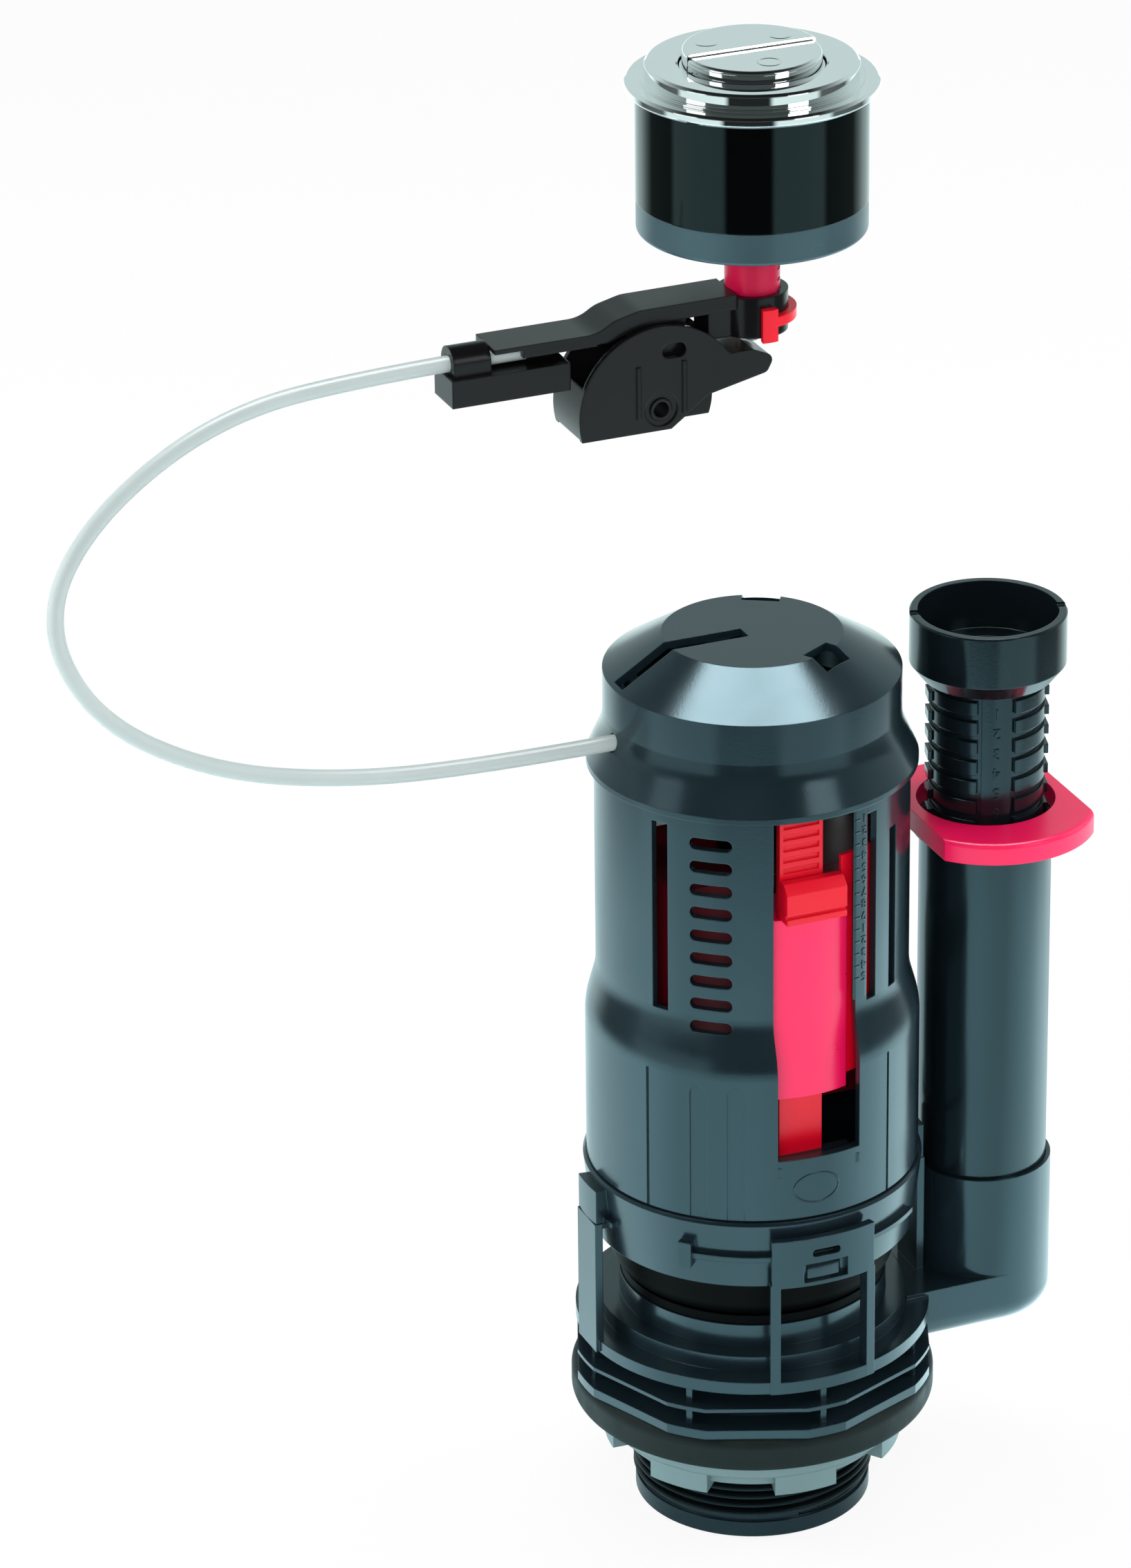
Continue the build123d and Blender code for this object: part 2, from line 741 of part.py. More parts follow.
# Cap: domed shell with groove, notches, cable hole, crank ears and ferrule plate
with BuildPart() as cap:
    skirt_bore = tower_top_radius + slip_gap
    wall_bore = cap_wall_radius - cap_wall
    disc_bore = cap_disc_radius - cap_wall * 0.4
    with BuildSketch(Plane.XZ) as cap_profile:
        with BuildLine():
            Polyline(
                (skirt_bore, cap_z),
                (cap_skirt_radius, cap_z),
                (cap_skirt_radius, cap_z + cap_skirt_height),
                (cap_wall_radius, cap_flare_z),
                (cap_wall_radius, cap_shoulder_z),
                (cap_disc_radius, cap_top),
                (0, cap_top),
                (0, cap_top - cap_wall),
                (disc_bore, cap_top - cap_wall),
                (wall_bore, cap_shoulder_z - cap_wall * 0.6),
                (wall_bore, cap_flare_z),
                (skirt_bore, tower_top + slip_gap),
                close=True,
            )
        make_face()
        crease = cap_profile.vertices().sort_by_distance((cap_wall_radius, cap_flare_z))[0]
        fillet(crease, cap_blend)
    revolve(axis=Axis.Z)
    ear_gap = crank_hub_width / 2 + run_gap
    with BuildSketch(Plane.XY.offset(crank_z - ear_length / 2)):
        for side in (-1, 1):
            with Locations((crank_x, side * (ear_gap + ear_width / 2))):
                Rectangle(ear_length, ear_width)
    extrude(until=Until.NEXT)
    with BuildSketch(Plane.XZ):
        with Locations((crank_x, crank_z)):
            Circle(crank_pin_radius + pin_gap)
    extrude(amount=ear_gap + ear_width + 1, both=True, mode=Mode.SUBTRACT)
    plate_x = route_end[0] + ferrule_length / 2
    with BuildSketch(Plane.XY.offset(route_end[1] - lower_ferrule_radius - 2)):
        with Locations((plate_x, 0)):
            Rectangle(ferrule_plate, ferrule_plate_width)
    extrude(until=Until.NEXT)
    with BuildSketch(Plane.YZ.offset(plate_x - ferrule_plate)):
        with Locations((0, route_end[1])):
            Circle(lower_ferrule_radius + pin_gap)
    extrude(amount=2 * ferrule_plate, mode=Mode.SUBTRACT)
    with BuildSketch(Plane.YZ.offset(-cap_skirt_radius)):
        with Locations((0, route_end[1])):
            Circle(cable_radius + cable_hole_gap)
    extrude(amount=cap_skirt_radius + route_end[0], mode=Mode.SUBTRACT)
    with BuildSketch(Plane.XZ):
        with BuildLine():
            Polyline(
                (-groove_inner, cap_top + 1),
                (-groove_inner, cap_top - groove_depth),
                (-cap_disc_radius, cap_top - groove_depth),
                (-cap_wall_radius + cap_wall, cap_shoulder_z - 1),
                (-cap_wall_radius + 1, cap_shoulder_z + 1),
                (-cap_wall_radius + 1, cap_top + 1),
                close=True,
            )
        make_face()
    extrude(amount=groove_width / 2, both=True, mode=Mode.SUBTRACT)
    with BuildSketch(Plane.XY.offset(cap_top - groove_depth)):
        with PolarLocations(cap_disc_radius, 2, -60, 120, endpoint=True):
            Rectangle(notch_length, notch_width)
    extrude(amount=groove_depth + 1, mode=Mode.SUBTRACT)
cap.part.label = "cap"
export_step(cap.part, "parts/cap.step")

# Crank pin
with BuildPart() as crank_pin:
    with BuildSketch(Plane.XZ):
        with Locations((crank_x, crank_z)):
            Circle(crank_pin_radius)
    extrude(amount=ear_gap + ear_width, both=True)
crank_pin.part.label = "crank_pin"
export_step(crank_pin.part, "parts/crank_pin.step")

# Lift crank: hub, twin tines for the wire and one arm with a cross pin for the stem
rest_angle = radians(90 - crank_swing / 2)
tine_tip = (crank_x + crank_up_arm * cos(rest_angle), crank_z + crank_up_arm * sin(rest_angle))
lift_tip = (crank_x + crank_lift_arm * sin(rest_angle), crank_z - crank_lift_arm * cos(rest_angle))
with BuildPart() as lift_crank:
    with BuildSketch(Plane.XZ):
        with Locations((crank_x, crank_z)):
            Circle(crank_hub_radius)
    extrude(amount=crank_hub_width / 2, both=True)
    with BuildSketch(Plane.XZ):
        with Locations((crank_x, crank_z)):
            Circle(crank_hub_radius * 0.8)
        with Locations(lift_tip):
            Circle(crank_tip_radius)
        make_hull()
    extrude(amount=crank_plate_width / 2, both=True)
    for side in (-1, 1):
        with BuildSketch(Plane.XZ.offset(side * (crank_tine_inner + crank_tine_outer) / 2)):
            with Locations((crank_x, crank_z)):
                Circle(crank_hub_radius * 0.8)
            with Locations(tine_tip):
                Circle(nipple_radius + nipple_gap + 1)
            make_hull()
        extrude(amount=(crank_tine_outer - crank_tine_inner) / 2, both=True)
    with BuildSketch(Plane.XZ):
        with Locations(lift_tip):
            Circle(cross_pin_radius)
    extrude(amount=cross_pin_length / 2, both=True)
    with BuildSketch(Plane.XZ):
        with Locations((crank_x, crank_z)):
            Circle(crank_pin_radius + pin_gap)
        with Locations(tine_tip):
            Circle(nipple_radius + nipple_gap)
    extrude(amount=crank_hub_width, both=True, mode=Mode.SUBTRACT)
lift_crank.part.label = "lift_crank"
export_step(lift_crank.part, "parts/lift_crank.step")

# Lower ferrule and lower wire with its barrel nipple
with BuildPart() as lower_ferrule:
    with BuildSketch(Plane.YZ.offset(route_end[0])):
        with Locations((0, route_end[1])):
            Circle(lower_ferrule_radius)
            Circle(wire_radius + run_gap, mode=Mode.SUBTRACT)
    extrude(amount=ferrule_length)
lower_ferrule.part.label = "lower_ferrule"
export_step(lower_ferrule.part, "parts/lower_ferrule.step")

with BuildPart() as lower_wire:
    wire_start = route_end[0] + ferrule_length - 1.5
    with BuildSketch(Plane.YZ.offset(wire_start)):
        with Locations((0, route_end[1])):
            Circle(wire_radius)
    extrude(amount=tine_tip[0] - wire_start)
    with BuildSketch(Plane.XZ):
        with Locations((tine_tip[0], route_end[1])):
            Circle(nipple_radius)
    extrude(amount=crank_tine_outer, both=True)
lower_wire.part.label = "lower_wire"
export_step(lower_wire.part, "parts/lower_wire.step")

# Valve plunger: open bell on a stem with a slotted head for the crank's cross pin
with BuildPart() as valve_plunger:
    with BuildSketch(Plane.XZ):
        with BuildLine():
            outer = FilletPolyline(
                (0, bell_z), (bell_radius, bell_z), (bell_radius, bell_z + bell_height), radius=bell_round
            )
            Polyline(
                outer @ 1,
                (bell_radius - bell_wall, bell_z + bell_height),
                (bell_radius - bell_wall, bell_z + bell_round),
                (bell_radius - bell_round, bell_z + bell_wall),
                (stem_radius, bell_z + bell_wall),
                (stem_radius, stem_top),
                (0, stem_top),
                outer @ 0,
            )
        make_face()
    revolve(axis=Axis.Z)
    head_wall = (stem_head_width - crank_plate_width) / 2 - run_gap
    with BuildSketch(Plane.XY.offset(stem_top)):
        for side in (-1, 1):
            with Locations((0, side * (stem_head_width - head_wall) / 2)):
                Rectangle(stem_head_length, head_wall)
    extrude(amount=stem_head_height)
    with BuildSketch(Plane.XZ):
        with Locations((0, lift_tip[1])):
            SlotOverall(stem_slot_length, 2 * (cross_pin_radius + run_gap))
    extrude(amount=stem_head_width, both=True, mode=Mode.SUBTRACT)
valve_plunger.part.label = "valve_plunger"
export_step(valve_plunger.part, "parts/valve_plunger.step")

# Seal washer and the retainer that holds it under the bell
with BuildPart() as seal_washer:
    with BuildSketch(Plane.XY.offset(seal_z)):
        Circle(seal_outer_radius)
        Circle(seal_inner_radius, mode=Mode.SUBTRACT)
    extrude(amount=seal_height)
seal_washer.part.label = "seal_washer"
export_step(seal_washer.part, "parts/seal_washer.step")

with BuildPart() as seal_retainer:
    with BuildSketch(Plane.XY.offset(seal_z - retainer_height)):
        Circle(retainer_radius)
    extrude(amount=retainer_height)
    with BuildSketch(Plane.XY.offset(seal_z)):
        Circle(seal_inner_radius - slip_gap)
    extrude(amount=seal_height)
    chamfer(seal_retainer.edges().group_by(Axis.Z)[0], retainer_height / 2)
seal_retainer.part.label = "seal_retainer"
export_step(seal_retainer.part, "parts/seal_retainer.step")

# Stem guide: hub on three arms that reach the tower wall
with BuildPart() as stem_guide:
    with BuildSketch(Plane.XY.offset(guide_z)):
        Circle(guide_hub_radius)
    extrude(amount=guide_height)
    with BuildSketch(Plane.XY.offset(guide_z)):
        for angle in (0, 90, 180):
            with PolarLocations(tower_top_radius / 2, 1, angle):
                Rectangle(tower_top_radius, guide_arm_width)
        Circle(inner_top - pin_gap, mode=Mode.INTERSECT)
    extrude(amount=guide_height / 4)
    with BuildSketch(Plane.XY.offset(guide_z)):
        Circle(stem_radius + run_gap)
    extrude(amount=guide_height, mode=Mode.SUBTRACT)
stem_guide.part.label = "stem_guide"
export_step(stem_guide.part, "parts/stem_guide.step")

# Lift float: ring-shaped air cup on the stem, open below, flat at the front
float_ring_top = guide_z - float_ring_top_gap
with BuildPart() as lift_float:
    front_cut = tower_low_radius
    with BuildSketch(Plane.XY.offset(float_ring_top - float_ring_height)):
        Circle(float_ring_radius)
        with Locations((0, float_flat_y - front_cut / 2)):
            Rectangle(2 * float_ring_radius, front_cut, mode=Mode.SUBTRACT)
    extrude(amount=float_ring_height)
    with BuildSketch(Plane.XY.offset(float_ring_top - float_ring_height)):
        Circle(float_ring_radius - float_wall)
        with Locations((0, float_flat_y + float_wall - front_cut / 2)):
            Rectangle(2 * float_ring_radius, front_cut, mode=Mode.SUBTRACT)
        Circle(stem_radius + slip_gap + float_wall, mode=Mode.SUBTRACT)
    extrude(amount=float_ring_height - float_wall, mode=Mode.SUBTRACT)
    with BuildSketch(Plane.XY.offset(float_ring_top - float_ring_height)):
        Circle(stem_radius + pin_gap)
    extrude(amount=float_ring_height, mode=Mode.SUBTRACT)
lift_float.part.label = "lift_float"
export_step(lift_float.part, "parts/lift_float.step")

# Float strip: toothed ladder that stands on the tower's shelf behind the window
strip_z = shelf_z + shelf_height
strip_width = strip_right - strip_left
strip_middle = (strip_left + strip_right) / 2
strip_height = tower_top + strip_head - strip_z
with BuildPart() as float_strip:
    with BuildSketch(Plane.XY.offset(strip_z)):
        with Locations((strip_middle, strip_front_y + strip_depth / 2)):
            Rectangle(strip_width, strip_depth)
    extrude(amount=strip_height)
    tooth_span = strip_tooth_pitch * strip_tooth_count
    with BuildSketch(Plane.XZ.offset(-strip_front_y)):
        with Locations((strip_middle, strip_z + strip_height - tooth_span / 2 - strip_tooth_margin)):
            with GridLocations(0, strip_tooth_pitch, 1, strip_tooth_count):
                Rectangle(strip_width - 2 * strip_rail, strip_tooth_height)
    extrude(amount=-strip_tooth_depth, mode=Mode.SUBTRACT)
float_strip.part.label = "float_strip"
export_step(float_strip.part, "parts/float_strip.step")

# Half-flush float: air cup that slides on the strip
half_float_z = sill_z + half_float_rise
half_float_top = half_float_z + half_float_height
with BuildPart() as half_flush_float:
    with BuildSketch(Plane.XY.offset(half_float_z)):
        with BuildLine():
            sides = Polyline(
                (half_float_left, half_float_window_y),
                (half_float_left, half_float_back_y),
                (half_float_right, half_float_back_y),
                (half_float_right, half_float_window_y),
            )
            ThreePointArc(sides @ 1, (0, -half_float_front_radius), sides @ 0)
        make_face()
    extrude(amount=half_float_height)
    with BuildSketch(Plane.XY.offset(half_float_z)):
        with Locations((strip_middle, strip_front_y + strip_depth / 2)):
            Rectangle(strip_width + 2 * run_gap, strip_depth + 2 * run_gap)
    extrude(amount=half_float_height, mode=Mode.SUBTRACT)
    with BuildSketch(Plane.XY.offset(half_float_z)):
        chamber_left = half_float_left + chamber_wall
        chamber_right = half_float_right - chamber_wall
        chamber_back = half_float_back_y - chamber_wall
        with Locations(((chamber_left + chamber_right) / 2, (chamber_front_y + chamber_back) / 2)):
            Rectangle(chamber_right - chamber_left, chamber_back - chamber_front_y)
    extrude(amount=half_float_height - chamber_wall, mode=Mode.SUBTRACT)
half_flush_float.part.label = "half_flush_float"
export_step(half_flush_float.part, "parts/half_flush_float.step")

# Float latch: ridged catch on the float's front edge
with BuildPart() as float_latch:
    knob_back = strip_front_y - run_gap
    with BuildSketch(Plane.XY.offset(half_float_top)):
        with Locations(((latch_knob_left + latch_knob_right) / 2, knob_back - latch_knob_depth / 2)):
            Rectangle(latch_knob_right - latch_knob_left, latch_knob_depth)
    extrude(amount=latch_knob_height)
    front_top = float_latch.edges().filter_by(Axis.X).sort_by(Axis.Y)[:2].sort_by(Axis.Z)[-1]
    chamfer(front_top, latch_knob_depth / 2)
    with BuildSketch(Plane.XZ.offset(latch_knob_depth - knob_back)):
        with Locations(((latch_knob_left + latch_knob_right) / 2, half_float_top)):
            with GridLocations(0, latch_knob_height * 0.4, 1, 2):
                Rectangle(latch_knob_right - latch_knob_left, latch_knob_height * 0.1)
    extrude(amount=-latch_knob_depth * 0.2, mode=Mode.SUBTRACT)
float_latch.part.label = "float_latch"
export_step(float_latch.part, "parts/float_latch.step")

# Overflow tube with a head flange that carries the lock clip
overflow_axis = Axis((overflow_x, 0, 0), (0, 0, 1))
with BuildPart() as overflow_tube:
    with BuildSketch(Plane.XY.offset(tube_z)):
        with Locations((overflow_x, 0)):
            Circle(tube_radius)
    extrude(amount=tube_length)
    with BuildSketch(Plane.XY.offset(tube_top - tube_head_height)):
        with Locations((overflow_x, 0)):
            Circle(tube_head_radius)
    extrude(amount=tube_head_height)
    with BuildSketch(Plane.XY.offset(tube_z)):
        with Locations((overflow_x, 0)):
            Circle(tube_radius - tube_wall)
    extrude(amount=tube_length, mode=Mode.SUBTRACT)
overflow_tube.part.label = "overflow_tube"
export_step(overflow_tube.part, "parts/overflow_tube.step")

# Overflow lock clip: bowed plate with a toothed hole
with BuildPart() as overflow_clip:
    clip_plane = Plane((overflow_x, 0, clip_z))
    with BuildSketch(clip_plane):
        with BuildLine():
            edge = Polyline(
                (clip_half_width, clip_side_front),
                (clip_half_width, clip_side_back),
                (clip_back_half, clip_back_y),
                (-clip_back_half, clip_back_y),
                (-clip_half_width, clip_side_back),
                (-clip_half_width, clip_side_front),
            )
            ThreePointArc(edge @ 1, (0, clip_front_y), edge @ 0)
        make_face()
        Circle(clip_hole_radius, mode=Mode.SUBTRACT)
    extrude(amount=clip_height)
    fillet(overflow_clip.faces().sort_by(Axis.Z)[-1].outer_wire().edges().sort_by(Axis.Y)[0], 1.2)
    with BuildSketch(clip_plane):
        with PolarLocations(
            clip_hole_radius, clip_tooth_count, -90 - clip_tooth_arc / 2, clip_tooth_arc, endpoint=True
        ):
            Rectangle(2 * clip_tooth_size, clip_tooth_size)
    extrude(amount=clip_height / 2)
overflow_clip.part.label = "overflow_clip"
export_step(overflow_clip.part, "parts/overflow_clip.step")

# Overflow funnel: ringed tube that telescopes in the overflow tube, with a flared cup
with BuildPart() as overflow_funnel:
    seam = radians(funnel_turn - 90 - strip_seam_angle)
    funnel_plane = Plane(
        origin=(overflow_x, 0, funnel_z),
        x_dir=(cos(seam), sin(seam), 0),
        z_dir=(sin(seam), -cos(seam), 0),
    )
    funnel_foot_radius = tube_radius - tube_wall - run_gap
    with BuildSketch(funnel_plane):
        with BuildLine():
            Polyline(
                (funnel_bore_radius, -funnel_tube_length),
                (funnel_foot_radius, -funnel_tube_length),
                (funnel_foot_radius, -funnel_tube_length + funnel_foot_height),
                (funnel_core_radius, -funnel_tube_length + funnel_foot_height),
                (funnel_core_radius, 0),
                (funnel_radius - funnel_chamfer, 0),
                (funnel_radius, funnel_chamfer_height),
                (funnel_radius, funnel_height - rim_notch_depth / 2),
                (funnel_radius - rim_notch_depth / 2, funnel_height),
                (funnel_mouth_radius, funnel_height),
                (funnel_mouth_radius, funnel_ledge),
                (funnel_bore_radius, funnel_ledge),
                close=True,
            )
        make_face()
    revolve(axis=overflow_axis)
    for number in range(band_count):
        band_z = funnel_z - band_first_drop - band_height - number * band_pitch
        band_plane = Plane((overflow_x, 0, band_z))
        with BuildSketch(band_plane):
            Circle(funnel_band_radius)
            with PolarLocations(funnel_band_radius, 1, funnel_turn - 90):
                Rectangle(funnel_band_radius, strip_gap_width, mode=Mode.SUBTRACT)
            Circle(funnel_core_radius - 0.5, mode=Mode.SUBTRACT)
        extrude(amount=band_height)
        with BuildSketch(band_plane):
            rack_depth = funnel_rack_radius - funnel_core_radius + 0.5
            with PolarLocations(funnel_rack_radius - rack_depth / 2, 2, funnel_turn):
                Rectangle(rack_depth, rack_width)
        extrude(amount=rack_tooth_height)
    with BuildSketch(Plane((overflow_x, 0, funnel_z - band_count * band_pitch))):
        ring_sector(
            funnel_core_radius - 0.5,
            funnel_band_radius,
            funnel_turn - 90 - strip_band_half_angle,
            funnel_turn - 90 + strip_band_half_angle,
        )
    extrude(amount=band_count * band_pitch)
    with BuildSketch(Plane((overflow_x, 0, funnel_z + funnel_height))):
        with PolarLocations((funnel_radius + funnel_mouth_radius) / 2, 2, funnel_turn):
            Rectangle(2 * (funnel_radius - funnel_mouth_radius), rim_notch_width)
    extrude(amount=-rim_notch_depth, mode=Mode.SUBTRACT)
overflow_funnel.part.label = "overflow_funnel"
export_step(overflow_funnel.part, "parts/overflow_funnel.step")

# Bezel: flange with a stepped top, plug and button well
with BuildPart() as bezel:
    flange_top = lid_height + bezel_flange_height
    plug_radius = sleeve_radius - sleeve_wall - slip_gap
    with BuildSketch(Plane.XZ):
        with BuildLine():
            Polyline(
                (well_radius, lid_height - bezel_skirt_depth),
                (well_radius, bezel_top - bezel_bead),
                (well_radius + bezel_bead, bezel_top),
                (bezel_disc_radius - bezel_bead, bezel_top),
                (bezel_disc_radius, bezel_top - bezel_bead),
                (bezel_disc_radius, flange_top + bezel_step_height),
                (bezel_step_radius, flange_top + bezel_step_height),
                (bezel_step_radius, flange_top),
                (bezel_radius - bezel_bead, flange_top),
                (bezel_radius, flange_top - bezel_bead),
                (bezel_radius, lid_height + bezel_bead),
                (bezel_radius - bezel_bead, lid_height),
                (sleeve_radius + rim_gap, lid_height),
                (sleeve_radius + rim_gap, lid_height + bezel_rim_depth),
                (plug_radius, lid_height + bezel_rim_depth),
                (plug_radius, lid_height - bezel_plug_depth),
                (plug_radius - bezel_plug_wall, lid_height - bezel_plug_depth),
                (plug_radius - bezel_plug_wall, lid_height - bezel_plug_wall),
                (well_radius + bezel_skirt_wall, lid_height - bezel_plug_wall),
                (well_radius + bezel_skirt_wall, lid_height - bezel_skirt_depth),
                close=True,
            )
        make_face()
    revolve(axis=Axis.Z)
bezel.part.label = "bezel"
export_step(bezel.part, "parts/bezel.step")

# Two half-round buttons, hollow below, each with a spring boss
for name, side, rise in (
    ("full_flush_button", -1, front_button_rise),
    ("half_flush_button", 1, rear_button_rise),
):
    with BuildPart() as half_button:
        with BuildSketch(Plane.XY.offset(button_low)):
            Circle(button_skirt_radius)
        extrude(amount=button_depth - button_step_drop)
        with BuildSketch(Plane.XY.offset(button_low)):
            Circle(button_radius)
        extrude(amount=button_depth + rise)
        fillet(half_button.edges().group_by(Axis.Z)[-1], 1.0)
        with BuildSketch(Plane.XY.offset(button_low)):
            Circle(button_radius - button_wall)
        extrude(amount=button_depth - button_step_drop, mode=Mode.SUBTRACT)
        with BuildSketch(Plane.XY.offset(foot_z)):
            with Locations((0, side * spring_y)):
                Circle(spring_coil_radius + spring_wire_radius + slip_gap)
        extrude(amount=bezel_top - button_step_drop - foot_z)
        if side < 0:
            with BuildSketch(Plane.XY.offset(foot_z)):
                with Locations((0, side * spring_y / 2)):
                    Rectangle(foot_width, spring_y)
            extrude(amount=bezel_top - button_step_drop - foot_z)
        with BuildSketch(Plane.XY.offset(foot_z)):
            with Locations((0, -side * (button_skirt_radius - button_split / 2))):
                Rectangle(3 * button_skirt_radius, 2 * button_skirt_radius)
        extrude(amount=2 * button_depth + foot_drop, mode=Mode.SUBTRACT)
        if side < 0:
            with BuildSketch(Plane.XY.offset(foot_z)):
                Rectangle(foot_width, foot_width)
            extrude(amount=foot_height)
    half_button.part.label = name
    export_step(half_button.part, f"parts/{name}.step")

# Button springs between the tube's flange and the spring bosses
for name, side in (("full_button_spring", -1), ("half_button_spring", 1)):
    with BuildPart() as button_spring:
        spring_low = tube_flange_top + spring_wire_radius + slip_gap / 2
        spring_rise = foot_z - tube_flange_top - 2 * spring_wire_radius - slip_gap
        spring_pitch = spring_rise / spring_turns
        with BuildLine():
            coil_foot = (0, side * spring_y, spring_low)
            coil = Helix(spring_pitch, spring_rise, spring_coil_radius, center=coil_foot)
        with BuildSketch(Plane(origin=coil @ 0, z_dir=coil % 0)):
            Circle(spring_wire_radius)
        sweep(is_frenet=True)
    button_spring.part.label = name
    export_step(button_spring.part, f"parts/{name}.step")

# Button sleeve and lock ring
with BuildPart() as button_sleeve:
    with BuildSketch(Plane.XY.offset(sleeve_z)):
        Circle(sleeve_radius)
        Circle(sleeve_radius - sleeve_wall, mode=Mode.SUBTRACT)
    extrude(amount=sleeve_height + bezel_rim_depth)
button_sleeve.part.label = "button_sleeve"
export_step(button_sleeve.part, "parts/button_sleeve.step")

with BuildPart() as button_lock_ring:
    with BuildSketch(Plane.XY.offset(lock_ring_z)):
        Circle(lock_ring_radius)
    extrude(amount=lock_ring_height)
    fillet(button_lock_ring.edges().group_by(Axis.Z)[0], 1.0)
    with BuildSketch(Plane.XY.offset(tube_flange_z)):
        Circle(tube_flange_radius + slip_gap)
    extrude(amount=lock_ring_height, mode=Mode.SUBTRACT)
    with BuildSketch(Plane.XY.offset(lock_ring_z)):
        Circle(guide_radius + slip_gap)
    extrude(amount=lock_ring_height, mode=Mode.SUBTRACT)
button_lock_ring.part.label = "button_lock_ring"
export_step(button_lock_ring.part, "parts/button_lock_ring.step")

# Guide tube: flanged tube with height notches down one side
with BuildPart() as guide_tube:
    with BuildSketch(Plane.XY.offset(guide_low)):
        Circle(guide_radius)
    extrude(amount=tube_flange_top - guide_low)
    with BuildSketch(Plane.XY.offset(tube_flange_z)):
        Circle(tube_flange_radius)
    extrude(amount=tube_flange_height)
    notch_foot = lock_ring_z - guide_notch_pitch * (guide_notch_count - 0.5)
    for number in range(guide_notch_count):
        with BuildSketch(Plane.XY.offset(notch_foot + number * guide_notch_pitch)):
            ring_sector(guide_radius - guide_notch_depth, guide_radius + 1, -50, 50)
        extrude(amount=guide_notch_pitch / 3, mode=Mode.SUBTRACT)
    with BuildSketch(Plane.XY.offset(guide_low)):
        Circle(guide_bore)
    extrude(amount=tube_flange_top - guide_low, mode=Mode.SUBTRACT)
guide_tube.part.label = "guide_tube"
export_step(guide_tube.part, "parts/guide_tube.step")

# Push rod with a domed tip over the lever's nose
with BuildPart() as push_rod:
    tip_z = pivot_z + nose_top[1] - rod_tip_drop
    with BuildSketch(Plane.XZ):
        with BuildLine():
            tip_arc = ThreePointArc(
                (0, tip_z),
                (rod_tip_radius * sin(pi / 4), tip_z + rod_tip_radius * (1 - cos(pi / 4))),
                (rod_tip_radius, tip_z + rod_tip_radius),
            )
            Polyline(
                tip_arc @ 1,
                (rod_radius, tip_z + rod_tip_radius),
                (rod_radius, foot_z - slip_gap),
                (0, foot_z - slip_gap),
                (0, tip_z),
            )
        make_face()
    revolve(axis=Axis.Z)
push_rod.part.label = "push_rod"
export_step(push_rod.part, "parts/push_rod.step")

# Lever: two cheeks, curved rim, nose bar, web and wire drum
with BuildPart() as lever:
    with BuildSketch(lever_plane) as cheek_side:
        with BuildLine():
            outline = Polyline(
                cheek_foot,
                (lever_foot_right, lever_foot_rise),
                nose_heel,
                nose_low,
                nose_tip,
                nose_top,
                nose_root,
            )
            ThreePointArc(outline @ 1, (pivot_x, cheek_radius), outline @ 0)
        make_face()
        for corner in (nose_low, nose_tip):
            fillet(cheek_side.vertices().sort_by_distance(corner)[0], nose_round)
        with Locations(cheek_slot):
            SlotOverall(cheek_slot_length, cheek_slot_height, mode=Mode.SUBTRACT)
    extrude(amount=lever_half_width, both=True)
    with BuildSketch(lever_plane):
        with Locations(pivot):
            Rectangle(6 * cheek_radius, 3 * cheek_radius)
    extrude(amount=lever_half_width - cheek_wall, both=True, mode=Mode.SUBTRACT)
    with BuildSketch(lever_plane.shift_origin((pivot_x, 0, pivot_z))):
        ring_sector(cheek_radius - rim_wall, cheek_radius, rim_start, rim_end)
    extrude(amount=lever_half_width - cheek_wall / 2, both=True)
    with BuildSketch(lever_plane) as nose_side:
        with BuildLine():
            Polyline(
                (nose_inner_x, nose_root[1] - 1),
                nose_root,
                nose_top,
                nose_tip,
                nose_low,
                (nose_inner_x, nose_heel[1] + 0.4),
                close=True,
            )
        make_face()
        for corner in (nose_low, nose_tip):
            fillet(nose_side.vertices().sort_by_distance(corner)[0], nose_round)
    extrude(amount=lever_half_width - cheek_wall / 2, both=True)
    with BuildSketch(lever_plane):
        with Locations(pivot):
            Circle(drum_radius)
        with Locations((pivot_x, lever_foot_rise - drum_radius)):
            Rectangle(2 * drum_radius, 2 * drum_radius, mode=Mode.SUBTRACT)
    extrude(amount=drum_width / 2, both=True)
    with BuildSketch(lever_plane):
        with BuildLine():
            Polyline(
                (pivot_x, web_half_height),
                (nose_inner_x + 1, nose_root[1] - 1),
                (nose_inner_x + 1, nose_heel[1] + 1),
                (pivot_x, -web_half_height),
                close=True,
            )
        make_face()
    extrude(amount=lever_web / 2, both=True)
    for side in (-1, 1):
        face_plane = lever_plane.offset(-side * lever_half_width)
        with BuildSketch(face_plane):
            with Locations((pivot_x, cheek_rib_height * 0.38)):
                with GridLocations(cheek_rib_spacing, 0, 2, 1):
                    Rectangle(cheek_rib_width, cheek_rib_height)
        extrude(amount=-side * cheek_rib_rise)
        with BuildSketch(face_plane):
            with Locations(pivot):
                Circle(cheek_recess_radius)
        extrude(amount=side * cheek_recess_depth, mode=Mode.SUBTRACT)
    with BuildSketch(lever_plane):
        with Locations(pivot):
            Circle(pivot_pin_radius + pin_gap)
    extrude(amount=2 * lever_half_width, both=True, mode=Mode.SUBTRACT)
lever.part.label = "lever"
export_step(lever.part, "parts/lever.step")

# Hollow pivot pin
with BuildPart() as pivot_pin:
    with BuildSketch(lever_plane):
        with Locations(pivot):
            Circle(pivot_pin_radius)
            Circle(pivot_pin_bore, mode=Mode.SUBTRACT)
    extrude(amount=lever_half_width - slip_gap, both=True)
pivot_pin.part.label = "pivot_pin"
export_step(pivot_pin.part, "parts/pivot_pin.step")

